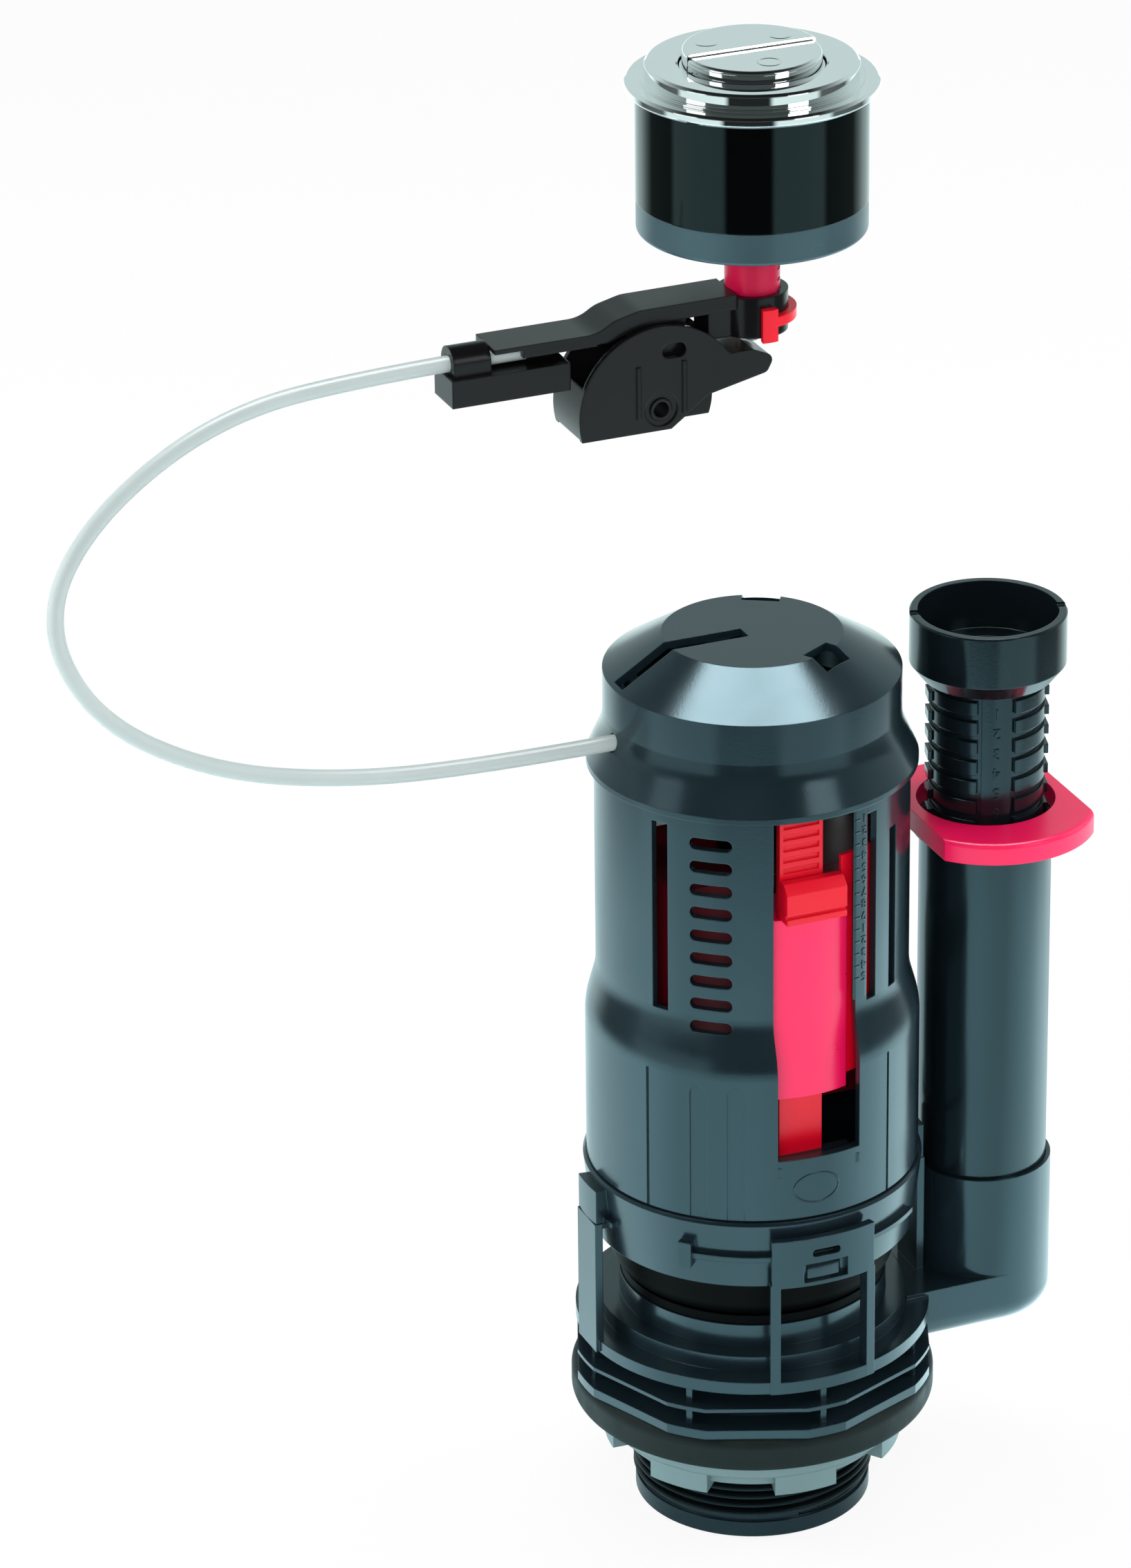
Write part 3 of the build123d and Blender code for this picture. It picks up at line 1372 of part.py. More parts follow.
# Lever frame: ring on the guide tube, bent arm, ears, hood, back wall and cable channel
with BuildPart() as lever_frame:
    ring_outer = guide_radius + slip_gap + ring_wall
    plate_top = arm_bend[-1][1]
    with BuildSketch(lever_plane) as arm_side:
        with BuildLine():
            Polyline(
                (-guide_radius, arm_top),
                *arm_bend,
                (rail_left, plate_top),
                (rail_left, hood_low),
                (plate_end_x, hood_low),
                (arm_bend[-1][0], arm_plate_low),
                arm_hip,
                arm_knee,
                (-guide_radius, arm_low),
                close=True,
            )
        make_face()
        for corner in arm_bend:
            fillet(arm_side.vertices().sort_by_distance(corner)[0], arm_round)
    extrude(amount=arm_half_width, both=True)
    for side in (-1, 1):
        with BuildSketch(lever_plane.offset(side * (ear_inner + ear_outer) / 2)):
            with Locations(pivot):
                Circle(frame_ear_radius)
            with Locations((pivot_x, arm_low)):
                Rectangle(3 * frame_ear_radius, 1)
            make_hull()
        extrude(amount=(ear_outer - ear_inner) / 2, both=True)
    with BuildSketch(Plane.XY.offset(pivot_z + frame_ring_low)):
        Circle(ring_outer)
        with Locations(((frame_web_x - guide_radius) / 2, 0)):
            Rectangle(-frame_web_x - guide_radius + 2, ring_outer)
    extrude(amount=arm_top - 1 - frame_ring_low)
    with BuildSketch(lever_plane):
        with Locations(((channel_left + channel_right) / 2, (channel_low + channel_top) / 2)):
            Rectangle(channel_right - channel_left, channel_top - channel_low)
    extrude(amount=channel_half_width, both=True)
    with BuildSketch(lever_plane):
        with Locations(((channel_left + channel_right) / 2 + channel_wall, (channel_low + channel_top) / 2)):
            Rectangle(channel_right - channel_left, channel_top - channel_low - 2 * channel_wall)
    extrude(amount=channel_half_width - channel_wall, both=True, mode=Mode.SUBTRACT)
    with BuildSketch(lever_plane.offset(-arm_half_width)):
        with BuildLine():
            Polyline(
                (rail_left, back_wall_foot),
                (channel_right, back_wall_foot),
                (arm_bend[-1][0] - 2.5, arm_plate_low - 2),
                (arm_bend[-1][0], arm_plate_low),
                arm_bend[-1],
                (rail_left, plate_top),
                close=True,
            )
        make_face()
    extrude(amount=back_wall)
    with BuildSketch(lever_plane.offset(arm_half_width)):
        with BuildLine():
            Polyline(
                (hood_front_left, hood_front_low),
                (arm_bend[-1][0], hood_front_low),
                arm_bend[-1],
                (hood_front_left, plate_top),
                close=True,
            )
        make_face()
    extrude(amount=-back_wall)
    with BuildSketch(Plane.XY.offset(pivot_z + frame_ring_low)):
        Circle(guide_radius + slip_gap)
    extrude(amount=2 * arm_top, mode=Mode.SUBTRACT)
    with BuildSketch(lever_plane):
        with Locations(pivot):
            Circle(pivot_pin_radius + pin_gap)
    extrude(amount=2 * lever_half_width, both=True, mode=Mode.SUBTRACT)
lever_frame.part.label = "lever_frame"
export_step(lever_frame.part, "parts/lever_frame.step")

# Frame clip: red band round the ring with an upright bar
with BuildPart() as frame_clip:
    band_inner = ring_outer + pin_gap
    band_outer = band_inner + clip_band_wall
    with BuildSketch(Plane.XY.offset(pivot_z + clip_bar_low + clip_bar_height * 0.45)):
        ring_sector(band_inner, band_outer, clip_band_start, clip_band_end)
    extrude(amount=clip_band_height)
    with BuildSketch(Plane.XY.offset(pivot_z + clip_bar_low)):
        ring_sector(band_inner, band_outer, clip_band_start, clip_band_start + clip_bar_angle)
    extrude(amount=clip_bar_height)
frame_clip.part.label = "frame_clip"
export_step(frame_clip.part, "parts/frame_clip.step")

# Cable clamp: saddle that holds the sheath on the channel
with BuildPart() as cable_clamp:
    saddle_drop = cable_rise - channel_top
    with BuildSketch(Plane((clamp_left, 0, cable_z), x_dir=(0, 1, 0), z_dir=(1, 0, 0))):
        Circle(clamp_radius)
        with Locations((0, -saddle_drop / 2)):
            Rectangle(2 * clamp_radius, saddle_drop)
        with Locations((0, -saddle_drop - clamp_radius)):
            Rectangle(4 * clamp_radius, 2 * clamp_radius, mode=Mode.SUBTRACT)
        Circle(cable_radius + pin_gap, mode=Mode.SUBTRACT)
    extrude(amount=clamp_right - clamp_left)
cable_clamp.part.label = "cable_clamp"
export_step(cable_clamp.part, "parts/cable_clamp.step")

# Cable sheath: one tube along straight runs joined by tangent arcs
corner_radii = []
for before, corner, after in zip(cable_route, cable_route[1:], cable_route[2:]):
    run_in = Vector(*corner) - Vector(*before)
    run_out = Vector(*after) - Vector(*corner)
    half_turn = radians(run_in.get_angle(run_out)) / 2
    corner_radii.append(0.45 * min(run_in.length, run_out.length) / tan(half_turn))
print("cable radii", [round(radius, 1) for radius in corner_radii])
with BuildPart() as cable_sheath:
    with BuildLine(Plane.XZ):
        cable_path = FilletPolyline(*cable_route, radius=corner_radii)
    with BuildSketch(Plane(origin=cable_path @ 0, z_dir=cable_path % 0)):
        Circle(cable_radius)
    sweep()
cable_volume = pi * cable_radius**2 * cable_path.length
print("cable length", round(cable_path.length, 1))
print("cable volume ratio", round(cable_sheath.part.volume / cable_volume, 4))
cable_sheath.part.label = "cable_sheath"
export_step(cable_sheath.part, "parts/cable_sheath.step")

# Upper ferrule and upper wire that ends in a barrel over the drum
with BuildPart() as upper_ferrule:
    with BuildSketch(Plane.YZ.offset(cable_route[0][0])):
        with Locations((0, cable_z)):
            Circle(ferrule_radius)
            Circle(wire_radius + run_gap, mode=Mode.SUBTRACT)
    extrude(amount=ferrule_length)
upper_ferrule.part.label = "upper_ferrule"
export_step(upper_ferrule.part, "parts/upper_ferrule.step")

with BuildPart() as upper_wire:
    upper_start = cable_route[0][0] + 0.4
    upper_end = pivot_x + 3.5
    with BuildSketch(Plane.YZ.offset(upper_start)):
        with Locations((0, cable_z)):
            Circle(wire_radius)
    extrude(amount=upper_end - upper_start)
    with BuildSketch(Plane.XZ):
        with Locations((upper_end, cable_z)):
            Circle(nipple_radius)
    extrude(amount=drum_width / 2, both=True)
upper_wire.part.label = "upper_wire"
export_step(upper_wire.part, "parts/upper_wire.step")
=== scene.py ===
"""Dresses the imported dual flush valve.

Every node gets its finish. The tail's thread, the scales, the float's wing, the marks, the springs
and the cable are added as pieces of their own, and a camera, a floor and lamps are set round them.
"""

import logging
from dataclasses import dataclass
from enum import Enum
from math import atan, cos, pi, radians, sin

import bpy
import numpy as np
from mathutils import Matrix, Vector


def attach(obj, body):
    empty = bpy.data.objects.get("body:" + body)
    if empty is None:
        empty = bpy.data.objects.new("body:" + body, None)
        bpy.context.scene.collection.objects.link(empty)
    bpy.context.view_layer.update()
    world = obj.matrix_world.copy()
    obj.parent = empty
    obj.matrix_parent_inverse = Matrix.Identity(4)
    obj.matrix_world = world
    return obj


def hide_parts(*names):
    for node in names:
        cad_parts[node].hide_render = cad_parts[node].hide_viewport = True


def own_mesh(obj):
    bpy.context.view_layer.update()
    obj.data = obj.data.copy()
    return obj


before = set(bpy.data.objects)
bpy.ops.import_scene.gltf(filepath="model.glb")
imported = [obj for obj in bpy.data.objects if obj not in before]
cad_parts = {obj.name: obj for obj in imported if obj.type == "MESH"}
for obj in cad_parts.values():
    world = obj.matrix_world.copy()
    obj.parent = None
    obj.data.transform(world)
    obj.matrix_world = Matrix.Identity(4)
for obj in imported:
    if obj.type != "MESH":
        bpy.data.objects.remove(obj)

LOG = logging.getLogger("flush_valve")
MM = 0.001
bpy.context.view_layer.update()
WHITE = (1.0, 1.0, 1.0, 1.0)

# Numbers of a colour Mix node's sockets: its two colours and its result
MIX_FROM, MIX_TO, MIX_RESULT = 6, 7, 2


def linear(code: str) -> tuple[float, float, float, float]:
    """Turn an sRGB hex colour into linear RGBA.

    Args:
        code: six hex digits after a hash sign.

    Returns:
        The colour in linear light, with full alpha.
    """
    parts = [int(code[i : i + 2], 16) / 255 for i in (1, 3, 5)]
    # The sRGB curve is straight near black and a power above it
    light = [c / 12.92 if c <= 0.04045 else ((c + 0.055) / 1.055) ** 2.4 for c in parts]
    return (*light, 1.0)


def add_node(
    tree: bpy.types.NodeTree,
    kind: str,
    inputs: dict[str | int, object] | None = None,
    **settings: object,
) -> bpy.types.Node:
    """Add one node with its settings and its links.

    Args:
        tree: node tree that takes the node.
        kind: the node's type name.
        inputs: socket name or number to a value, or to the socket that feeds it.
        settings: the node's own properties.

    Returns:
        The new node.
    """
    node = tree.nodes.new(kind)
    for name, value in settings.items():
        setattr(node, name, value)
    for key, value in (inputs or {}).items():
        if isinstance(value, bpy.types.NodeSocket):
            tree.links.new(value, node.inputs[key])
        else:
            node.inputs[key].default_value = value
    return node


# Span in which soft noise mostly lies, its detail in patches and in grain, and the rays that
# soften an edge
NOISE_SPAN = (0.3, 0.7)
PATCH_DETAIL, GRAIN_DETAIL = 3.0, 2.0
EDGE_SAMPLES = 4


@dataclass(frozen=True)
class Finish:
    """A surface finish: colour, gloss and the fine texture that the mould or mill left.

    Attributes:
        name: what the real material is.
        colour: sRGB hex of the surface in plain light.
        shade: sRGB hex of its darker patches.
        roughness: middle roughness.
        roughness_swing: how far the roughness wanders either way.
        metallic: 1 for a metal.
        ior: refractive index, used on non-metals.
        grain_mm: size of the mould grain, drawn coarser than the real one so that it shows.
        grain_depth_mm: height of that grain.
        patch_mm: size of the soft flow patches in colour and gloss.
        edge_mm: radius that softens the moulded edges.
        glint: sRGB hex that tints the gloss.
    """

    name: str
    colour: str
    shade: str
    roughness: float
    roughness_swing: float = 0.05
    metallic: float = 0.0
    ior: float = 1.5
    grain_mm: float = 0.6
    grain_depth_mm: float = 0.01
    patch_mm: float = 25.0
    edge_mm: float = 0.35
    glint: str = "#ffffff"

    def material(self) -> bpy.types.Material:
        """Give the finish's node material, made once.

        Returns:
            The material, with colour, roughness and bump from object coordinates.
        """
        known = bpy.data.materials.get(self.name)
        if known is not None:
            return known
        made = bpy.data.materials.new(self.name)
        made.use_nodes = True
        tree = made.node_tree
        tree.nodes.clear()
        place = add_node(tree, "ShaderNodeTexCoord").outputs["Object"]
        patch, grain = (
            add_node(
                tree,
                "ShaderNodeTexNoise",
                {"Vector": place, "Scale": 1 / (size * MM), "Detail": detail},
            ).outputs["Fac"]
            for size, detail in ((self.patch_mm, PATCH_DETAIL), (self.grain_mm, GRAIN_DETAIL))
        )
        colour = add_node(
            tree,
            "ShaderNodeMix",
            {"Factor": patch, MIX_FROM: linear(self.shade), MIX_TO: linear(self.colour)},
            data_type="RGBA",
        ).outputs[MIX_RESULT]
        rough = add_node(
            tree,
            "ShaderNodeMapRange",
            {
                "Value": patch,
                "From Min": NOISE_SPAN[0],
                "From Max": NOISE_SPAN[1],
                "To Min": self.roughness - self.roughness_swing,
                "To Max": self.roughness + self.roughness_swing,
            },
        ).outputs["Result"]
        edge = add_node(
            tree, "ShaderNodeBevel", {"Radius": self.edge_mm * MM}, samples=EDGE_SAMPLES
        ).outputs["Normal"]
        bump = add_node(
            tree,
            "ShaderNodeBump",
            {
                "Strength": 1.0,
                "Distance": self.grain_depth_mm * MM,
                "Height": grain,
                "Normal": edge,
            },
        ).outputs["Normal"]
        shader = add_node(
            tree,
            "ShaderNodeBsdfPrincipled",
            {
                "Base Color": colour,
                "Roughness": rough,
                "Normal": bump,
                "Metallic": self.metallic,
                "IOR": self.ior,
                "Specular Tint": linear(self.glint),
            },
        ).outputs["BSDF"]
        add_node(tree, "ShaderNodeOutputMaterial", {"Surface": shader})
        return made


# Cool cast that grey plastic takes from the room
COOL_GLINT = "#cbf3ff"


class Finishes(Enum):
    """Every finish on the valve."""

    # Injection-moulded polypropylene: cool slate grey, satin, with soft flow patches
    SLATE = Finish(
        "moulded_slate_polypropylene", "#17242a", "#121d22", 0.2, 0.05, ior=1.57, glint=COOL_GLINT
    )
    # Same plastic in the ringed overflow, moulded glossier and darker
    OVERFLOW = Finish(
        "moulded_dark_polypropylene", "#0e161a", "#0b1114", 0.18, 0.04, ior=1.55, glint=COOL_GLINT
    )
    # Glass-filled nylon of the lever box: neutral black with a dry sheen and soft edges
    NYLON = Finish(
        "glass_filled_black_nylon",
        "#131314",
        "#0e0e0f",
        0.22,
        0.06,
        ior=1.36,
        grain_mm=0.4,
        grain_depth_mm=0.015,
        edge_mm=0.6,
    )
    # Polished ABS sleeve: deep black with a mirror gloss
    SLEEVE = Finish(
        "polished_black_abs",
        "#040506",
        "#030404",
        0.06,
        0.02,
        ior=1.42,
        grain_depth_mm=0.001,
        glint="#d4fbff",
    )
    # Lock ring, then the nut: mid grey polypropylene; the tower scale's ticks and figures take the
    # ring's grey as a painted highlight
    RING = Finish("grey_polypropylene_and_painted_highlight_marks", "#3c525a", "#344950", 0.32, 0.05, glint="#d4f6ff")
    NUT = Finish("moulded_pale_grey_polypropylene", "#6f8b8e", "#647f82", 0.4, 0.06)
    # Acetal working parts inside: off-white, waxy
    ACETAL = Finish("natural_acetal", "#e6eaea", "#dadfdf", 0.35, 0.05)
    # Red acetal of the half-flush float and the overflow's lock: pink cast, semi-gloss
    RED = Finish("moulded_red_acetal", "#fc1260", "#f00d52", 0.3, 0.05)
    # Strip, latch, wing and frame clip: the same acetal in a purer red
    STRIP_RED = Finish("moulded_signal_red_acetal", "#e60628", "#d80422", 0.32, 0.05, ior=1.42)
    # The lift float inside the barrel: red acetal painted deep crimson, a painted shade for the
    # dark inside the barrel; then the guide tube: deeper crimson
    CRIMSON = Finish("red_acetal_in_painted_shade", "#5a0816", "#4d0612", 0.35, 0.05)
    GUIDE_RED = Finish("moulded_crimson_acetal", "#c00a40", "#ae0738", 0.35, 0.05, ior=1.38)
    # Chrome plate on plastic: mirror with faint polish waves
    CHROME = Finish(
        "bright_chrome_plate",
        "#f2f4f4",
        "#eceeee",
        0.03,
        0.01,
        metallic=1.0,
        grain_mm=4.0,
        grain_depth_mm=0.0004,
    )
    # EPDM gasket: matt black rubber with a bloom
    RUBBER = Finish(
        "moulded_epdm_rubber",
        "#1a2525",
        "#131b1b",
        0.55,
        0.08,
        ior=1.24,
        grain_mm=0.8,
        grain_depth_mm=0.05,
        patch_mm=6.0,
    )
    # Thread of the outlet tail: the tail's plastic painted near black as painted shade, where
    # little light comes in
    TAIL = Finish(
        "tail_plastic_in_painted_shade", "#080d0f", "#06090b", 0.3, 0.05, ior=1.32, glint=COOL_GLINT
    )
    # The valve inside the ports: painted shade, near black and matt, for the dark inside the ports
    VALVE = Finish("valve_plastic_in_painted_shade", "#020303", "#010202", 0.55, 0.05, ior=1.15)
    # PVC sheath: pale grey, smooth
    SHEATH = Finish(
        "extruded_grey_pvc", "#b9c6c5", "#adbab9", 0.38, 0.05, grain_mm=1.5, edge_mm=0.05
    )
    # Drawn stainless wire: bright grey with a fine draw
    STEEL = Finish(
        "drawn_stainless_steel",
        "#b9bbbd",
        "#a9abad",
        0.3,
        0.05,
        metallic=1.0,
        grain_mm=0.3,
        edge_mm=0.05,
    )


NODE_FINISH: dict[str, Finishes] = {
    "seat_body": Finishes.SLATE,
    "floor_gasket": Finishes.RUBBER,
    "back_nut": Finishes.NUT,
    "bayonet_collar": Finishes.SLATE,
    "tower": Finishes.SLATE,
    "cap": Finishes.SLATE,
    "stem_guide": Finishes.ACETAL,
    "crank_pin": Finishes.STEEL,
    "lift_crank": Finishes.ACETAL,
    "lower_ferrule": Finishes.NYLON,
    "lower_wire": Finishes.STEEL,
    # Valve parts inside the ports: painted near black as painted shade
    "valve_plunger": Finishes.VALVE,
    "seal_washer": Finishes.VALVE,
    "seal_retainer": Finishes.VALVE,
    # The lift float: red acetal painted dark as painted shade inside the barrel
    "lift_float": Finishes.CRIMSON,
    "float_strip": Finishes.STRIP_RED,
    "half_flush_float": Finishes.RED,
    "float_latch": Finishes.STRIP_RED,
    "overflow_tube": Finishes.OVERFLOW,
    "overflow_funnel": Finishes.OVERFLOW,
    "overflow_clip": Finishes.RED,
    "bezel": Finishes.CHROME,
    "full_flush_button": Finishes.CHROME,
    "half_flush_button": Finishes.CHROME,
    "button_sleeve": Finishes.SLEEVE,
    "button_lock_ring": Finishes.RING,
    "guide_tube": Finishes.GUIDE_RED,
    "push_rod": Finishes.ACETAL,
    "lever": Finishes.NYLON,
    "pivot_pin": Finishes.NYLON,
    "lever_frame": Finishes.NYLON,
    "frame_clip": Finishes.STRIP_RED,
    "cable_clamp": Finishes.NYLON,
    "upper_ferrule": Finishes.NYLON,
    "upper_wire": Finishes.STEEL,
}


def grid_piece(
    name: str, points: np.ndarray, finish: Finishes, body: str, slot: str, wrap: bool = True
) -> bpy.types.Object:
    """Make a piece from a grid of points in millimetres.

    Each quad joins neighbours (i, j), (i+1, j), (i+1, j+1), (i, j+1). With wrap, the second
    parameter closes on itself, and the first and last rows are capped by one polygon each.

    Args:
        name: the piece's name.
        points: array of shape (rows, columns, 3), in the row frame.
        finish: its finish.
        body: the CAD body it rides on.
        slot: the record's material slot; passed on, but not used.
        wrap: whether each row is a closed ring.

    Returns:
        The linked object.
    """
    rows, columns, _ = points.shape
    index = np.arange(rows * columns).reshape(rows, columns)
    if wrap:
        following = np.roll(index, -1, axis=1)
        quads = np.stack([index[:-1], following[:-1], following[1:], index[1:]], axis=-1)
    else:
        quads = np.stack([index[:-1, :-1], index[:-1, 1:], index[1:, 1:], index[1:, :-1]], axis=-1)
    faces = quads.reshape(-1, 4).tolist()
    if wrap:
        faces += [index[0][::-1].tolist(), index[-1].tolist()]
    mesh = bpy.data.meshes.new(name)
    mesh.from_pydata((points.reshape(-1, 3) * MM).tolist(), [], faces)
    mesh.update()
    return dress_piece(name, mesh, finish, body, slot)


def dress_piece(
    name: str, mesh: bpy.types.Mesh, finish: Finishes, body: str, slot: str
) -> bpy.types.Object:
    """Link a mesh as a smooth piece with its finish, on its body.

    Args:
        name: the piece's name.
        mesh: its mesh, placed in the row frame.
        finish: its finish.
        body: the CAD body it rides on.
        slot: the record's material slot; not used.

    Returns:
        The linked object.
    """
    piece = bpy.data.objects.new(name, mesh)
    bpy.context.scene.collection.objects.link(piece)
    mesh.materials.append(finish.value.material())
    mesh.shade_smooth()
    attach(piece, body)
    LOG.info("piece %s: %d faces", name, len(mesh.polygons))
    return piece


@dataclass(frozen=True)
class Cylinder:
    """An upright cylinder of the valve, in mm."""

    middle_x: float
    radius: float

    def point(self, angle: np.ndarray, height: np.ndarray, out: np.ndarray) -> np.ndarray:
        """Place points on the wall.

        A point is (x0 + r sin a, -r cos a, z), with r the radius plus the outward distance.

        Args:
            angle: angle from the front, towards +X, in radians.
            height: height in mm.
            out: distance outwards from the wall in mm.

        Returns:
            Points in mm, with the last axis x, y, z.
        """
        angle, height, reach = np.broadcast_arrays(angle, height, self.radius + out)
        return np.stack(
            [self.middle_x + reach * np.sin(angle), -reach * np.cos(angle), height], axis=-1
        )


# Font size that gives a figure of unit height, and the steps along each of its curves
FIGURE_SIZE = 1.4
FIGURE_STEPS = 2


def raise_figure(
    name: str,
    text: str,
    height: float,
    stand: float,
    wall: Cylinder,
    angle: float,
    middle: float,
    look: tuple[Finishes, str, str],
) -> None:
    """Raise one figure on a cylinder, turned a half turn to be read from above.

    The flat figure's -x runs round the cylinder as angle = -x / radius, its -y runs up, and its
    own thickness stands out from the wall.

    Args:
        name: the piece's name.
        text: the figure.
        height: its height in mm.
        stand: how far it stands out, in mm.
        wall: the cylinder that carries it.
        angle: angle of its middle from the front, in degrees.
        middle: height of its middle in mm.
        look: finish, body and slot.
    """
    font = bpy.data.curves.new(name + "_flat", "FONT")
    font.body = text
    font.size = height * FIGURE_SIZE
    font.extrude = stand
    font.resolution_u = FIGURE_STEPS
    flat = bpy.data.objects.new(name + "_flat", font)
    bpy.context.scene.collection.objects.link(flat)
    shown = flat.evaluated_get(bpy.context.evaluated_depsgraph_get())
    mesh = bpy.data.meshes.new_from_object(shown)
    bpy.data.objects.remove(flat)
    bpy.data.curves.remove(font)
    spots = np.empty(len(mesh.vertices) * 3)
    mesh.vertices.foreach_get("co", spots)
    spots = spots.reshape(-1, 3)
    spots[:, :2] -= (spots[:, :2].max(axis=0) + spots[:, :2].min(axis=0)) / 2
    across, upward = -spots[:, 0], -spots[:, 1]
    placed = wall.point(radians(angle) + across / wall.radius, middle + upward, spots[:, 2])
    mesh.vertices.foreach_set("co", (placed * MM).ravel())
    mesh.name = name
    mesh.update()
    dress_piece(name, mesh, *look)
    mesh.shade_flat()


@dataclass
class TailThread:
    """Pipe thread on the outlet tail.

    The ridge's section goes up one flank, over the crest, down the other and back inside the
    wall. Its rise is in pitches and its reach in depths.
    """

    core: Cylinder = Cylinder(0.0, 28.4)
    pitch: float = 2.309
    depth: float = 1.35
    low: float = 4.6
    high: float = 15.6
    section_rise: tuple[float, ...] = (-0.48, -0.12, 0.0, 0.12, 0.48, 0.2, -0.2)
    section_reach: tuple[float, ...] = (-0.1, 0.92, 1.0, 0.92, -0.1, -0.12, -0.12)
    least_share: float = 0.02
    steps_per_turn: int = 96

    def build(self) -> None:
        """Raise the helical ridge.

        Along the helix, angle t gives the height low + pitch t / 2 pi. The ridge's section is a
        rounded triangle, and its height fades in and out over half a turn at the ends.
        """
        turns = (self.high - self.low) / self.pitch
        angle = np.linspace(0, 2 * pi * turns, int(turns * self.steps_per_turn))[:, None]
        rise = np.array(self.section_rise) * self.pitch
        out = np.array(self.section_reach) * self.depth
        fade = np.clip(np.minimum(angle, angle[-1] - angle) / pi, self.least_share, 1)
        height = self.low + self.pitch * angle / (2 * pi) + rise
        points = self.core.point(angle, height, np.where(out > 0, out * fade, out))
        # The thread is painted near black: painted shade low by the floor
        grid_piece("tail_thread", points, Finishes.TAIL, "housing", "dark_plastic")


@dataclass
class OverflowScale:
    """Figures down the overflow's flat strip."""

    wall: Cylinder = Cylinder(62.3, 14.1)
    angle: float = -16.0
    first: float = 204.6
    pitch: float = 5.2
    count: int = 6
    height: float = 2.9
    stand: float = 0.26

    def build(self) -> None:
        """Raise the figures 1 to 6 at equal steps downwards."""
        for number in range(self.count):
            raise_figure(
                f"overflow_figure_{number + 1}",
                str(number + 1),
                self.height,
                self.stand,
                self.wall,
                self.angle,
                self.first - number * self.pitch,
                (Finishes.SLATE, "funnel", "dark_plastic"),
            )


@dataclass
class TowerScale:
    """Raised scale strip with ticks and figures beside the window.

    The ticks' and figures' angles are in degrees from the strip's start, and their heights in mm.
    The figures run from 1 to the last one, then start again.
    """

    wall: Cylinder = Cylinder(0.0, 38.0)
    start: float = 15.2
    end: float = 21.4
    low: float = 148.5
    high: float = 198.6
    raise_by: float = 0.35
    edge_sink: float = 0.07
    columns: int = 13
    rows: int = 40
    top_margin: float = 3.0
    both_margins: float = 4.0
    tick_pitch: float = 3.2
    tick_span: tuple[float, float] = (0.3, 2.6)
    tick_half_height: float = 0.16
    tick_columns: int = 5
    figure_angle: float = 4.5
    figure_height: float = 2.2
    last_figure: int = 9
    stand: float = 0.24
    sunk: float = 0.1

    def build(self) -> None:
        """Raise the strip, then a figure and a tick for each step.

        The strip is a grid over angle and height, pushed out from the wall by a flat-topped
        bump that falls to just below the wall at its edges. A tick's section is a rectangle in
        height and distance outwards, carried along the angle.
        """
        angle = np.radians(np.linspace(self.start, self.end, self.columns))[:, None]
        section = np.full_like(angle, self.raise_by)
        section[[0, -1]] = -self.edge_sink
        height = np.linspace(self.low, self.high, self.rows)
        strip = self.wall.point(angle, height, section)
        look = (Finishes.SLATE, "housing", "dark_plastic")
        grid_piece("tower_scale_strip", strip, *look, wrap=False)
        face = Cylinder(self.wall.middle_x, self.wall.radius + self.raise_by)
        span = np.radians(self.start + np.linspace(*self.tick_span, self.tick_columns))[:, None]
        rise = np.array([-1, -1, 1, 1]) * self.tick_half_height
        out = np.array([-self.sunk, self.stand, self.stand, -self.sunk])
        # Ticks and figures take the lighter ring grey: a painted highlight on their raised edges
        # against the slate tower
        look = (Finishes.RING, "housing", "dark_plastic")
        for number in range(int((self.high - self.low - self.both_margins) / self.tick_pitch)):
            middle = self.high - self.top_margin - number * self.tick_pitch
            raise_figure(
                f"tower_figure_{number + 1}",
                str(1 + number % self.last_figure),
                self.figure_height,
                self.stand,
                face,
                self.start + self.figure_angle,
                middle,
                look,
            )
            grid_piece(f"tower_tick_{number + 1}", face.point(span, middle + rise, out), *look)


@dataclass
class FloatWing:
    """Right-hand wing of the half-flush float, which runs behind the barrel's wall."""

    face: Cylinder = Cylinder(0.0, 34.2)
    start: float = 13.0
    end: float = 29.3
    low: float = 128.0
    high: float = 186.0
    thickness: float = 1.0
    columns: int = 17

    def build(self) -> None:
        """Bend a plate round the barrel's axis.

        Its section is a rectangle in height and distance outwards, carried along the angle.
        """
        angle = np.radians(np.linspace(self.start, self.end, self.columns))[:, None]
        height = np.array([self.low, self.high, self.high, self.low])
        out = np.array([0.0, 0.0, self.thickness, self.thickness])
        points = self.face.point(angle, height, out)
        wing = grid_piece("float_wing", points, Finishes.STRIP_RED, "half_float", "red_plastic")
        wing.data.shade_flat()


@dataclass
class EjectorMark:
    """Faint oval witness ring that an ejector left under the window."""

    wall: Cylinder = Cylinder(0.0, 40.7)
    angle: float = -1.5
    middle: float = 102.3
    half_width: float = 5.8
    half_height: float = 3.9
    bead: float = 0.28
    bead_rise: float = 0.168
    steps: int = 72
    sides: int = 8

    def build(self) -> None:
        """Run a thin bead round an ellipse on the wall.

        The ellipse is (a cos s, b sin s); the bead's circle of angle c widens it by cos c and
        lifts it off the wall by sin c.
        """
        around = np.linspace(0, 2 * pi, self.steps)[:, None]
        circle = np.linspace(0, 2 * pi, self.sides, endpoint=False)
        wide = (self.half_width + self.bead * np.cos(circle)) * np.cos(around)
        tall = (self.half_height + self.bead * np.cos(circle)) * np.sin(around)
        angle = radians(self.angle) + wide / self.wall.radius
        points = self.wall.point(angle, self.middle + tall, self.bead_rise * np.sin(circle))
        grid_piece("ejector_mark", points, Finishes.SLATE, "housing", "dark_plastic")


# Part of a circle that each kind of flush mark runs round
WHOLE_RING, HALF_RING = 1.0, 0.5


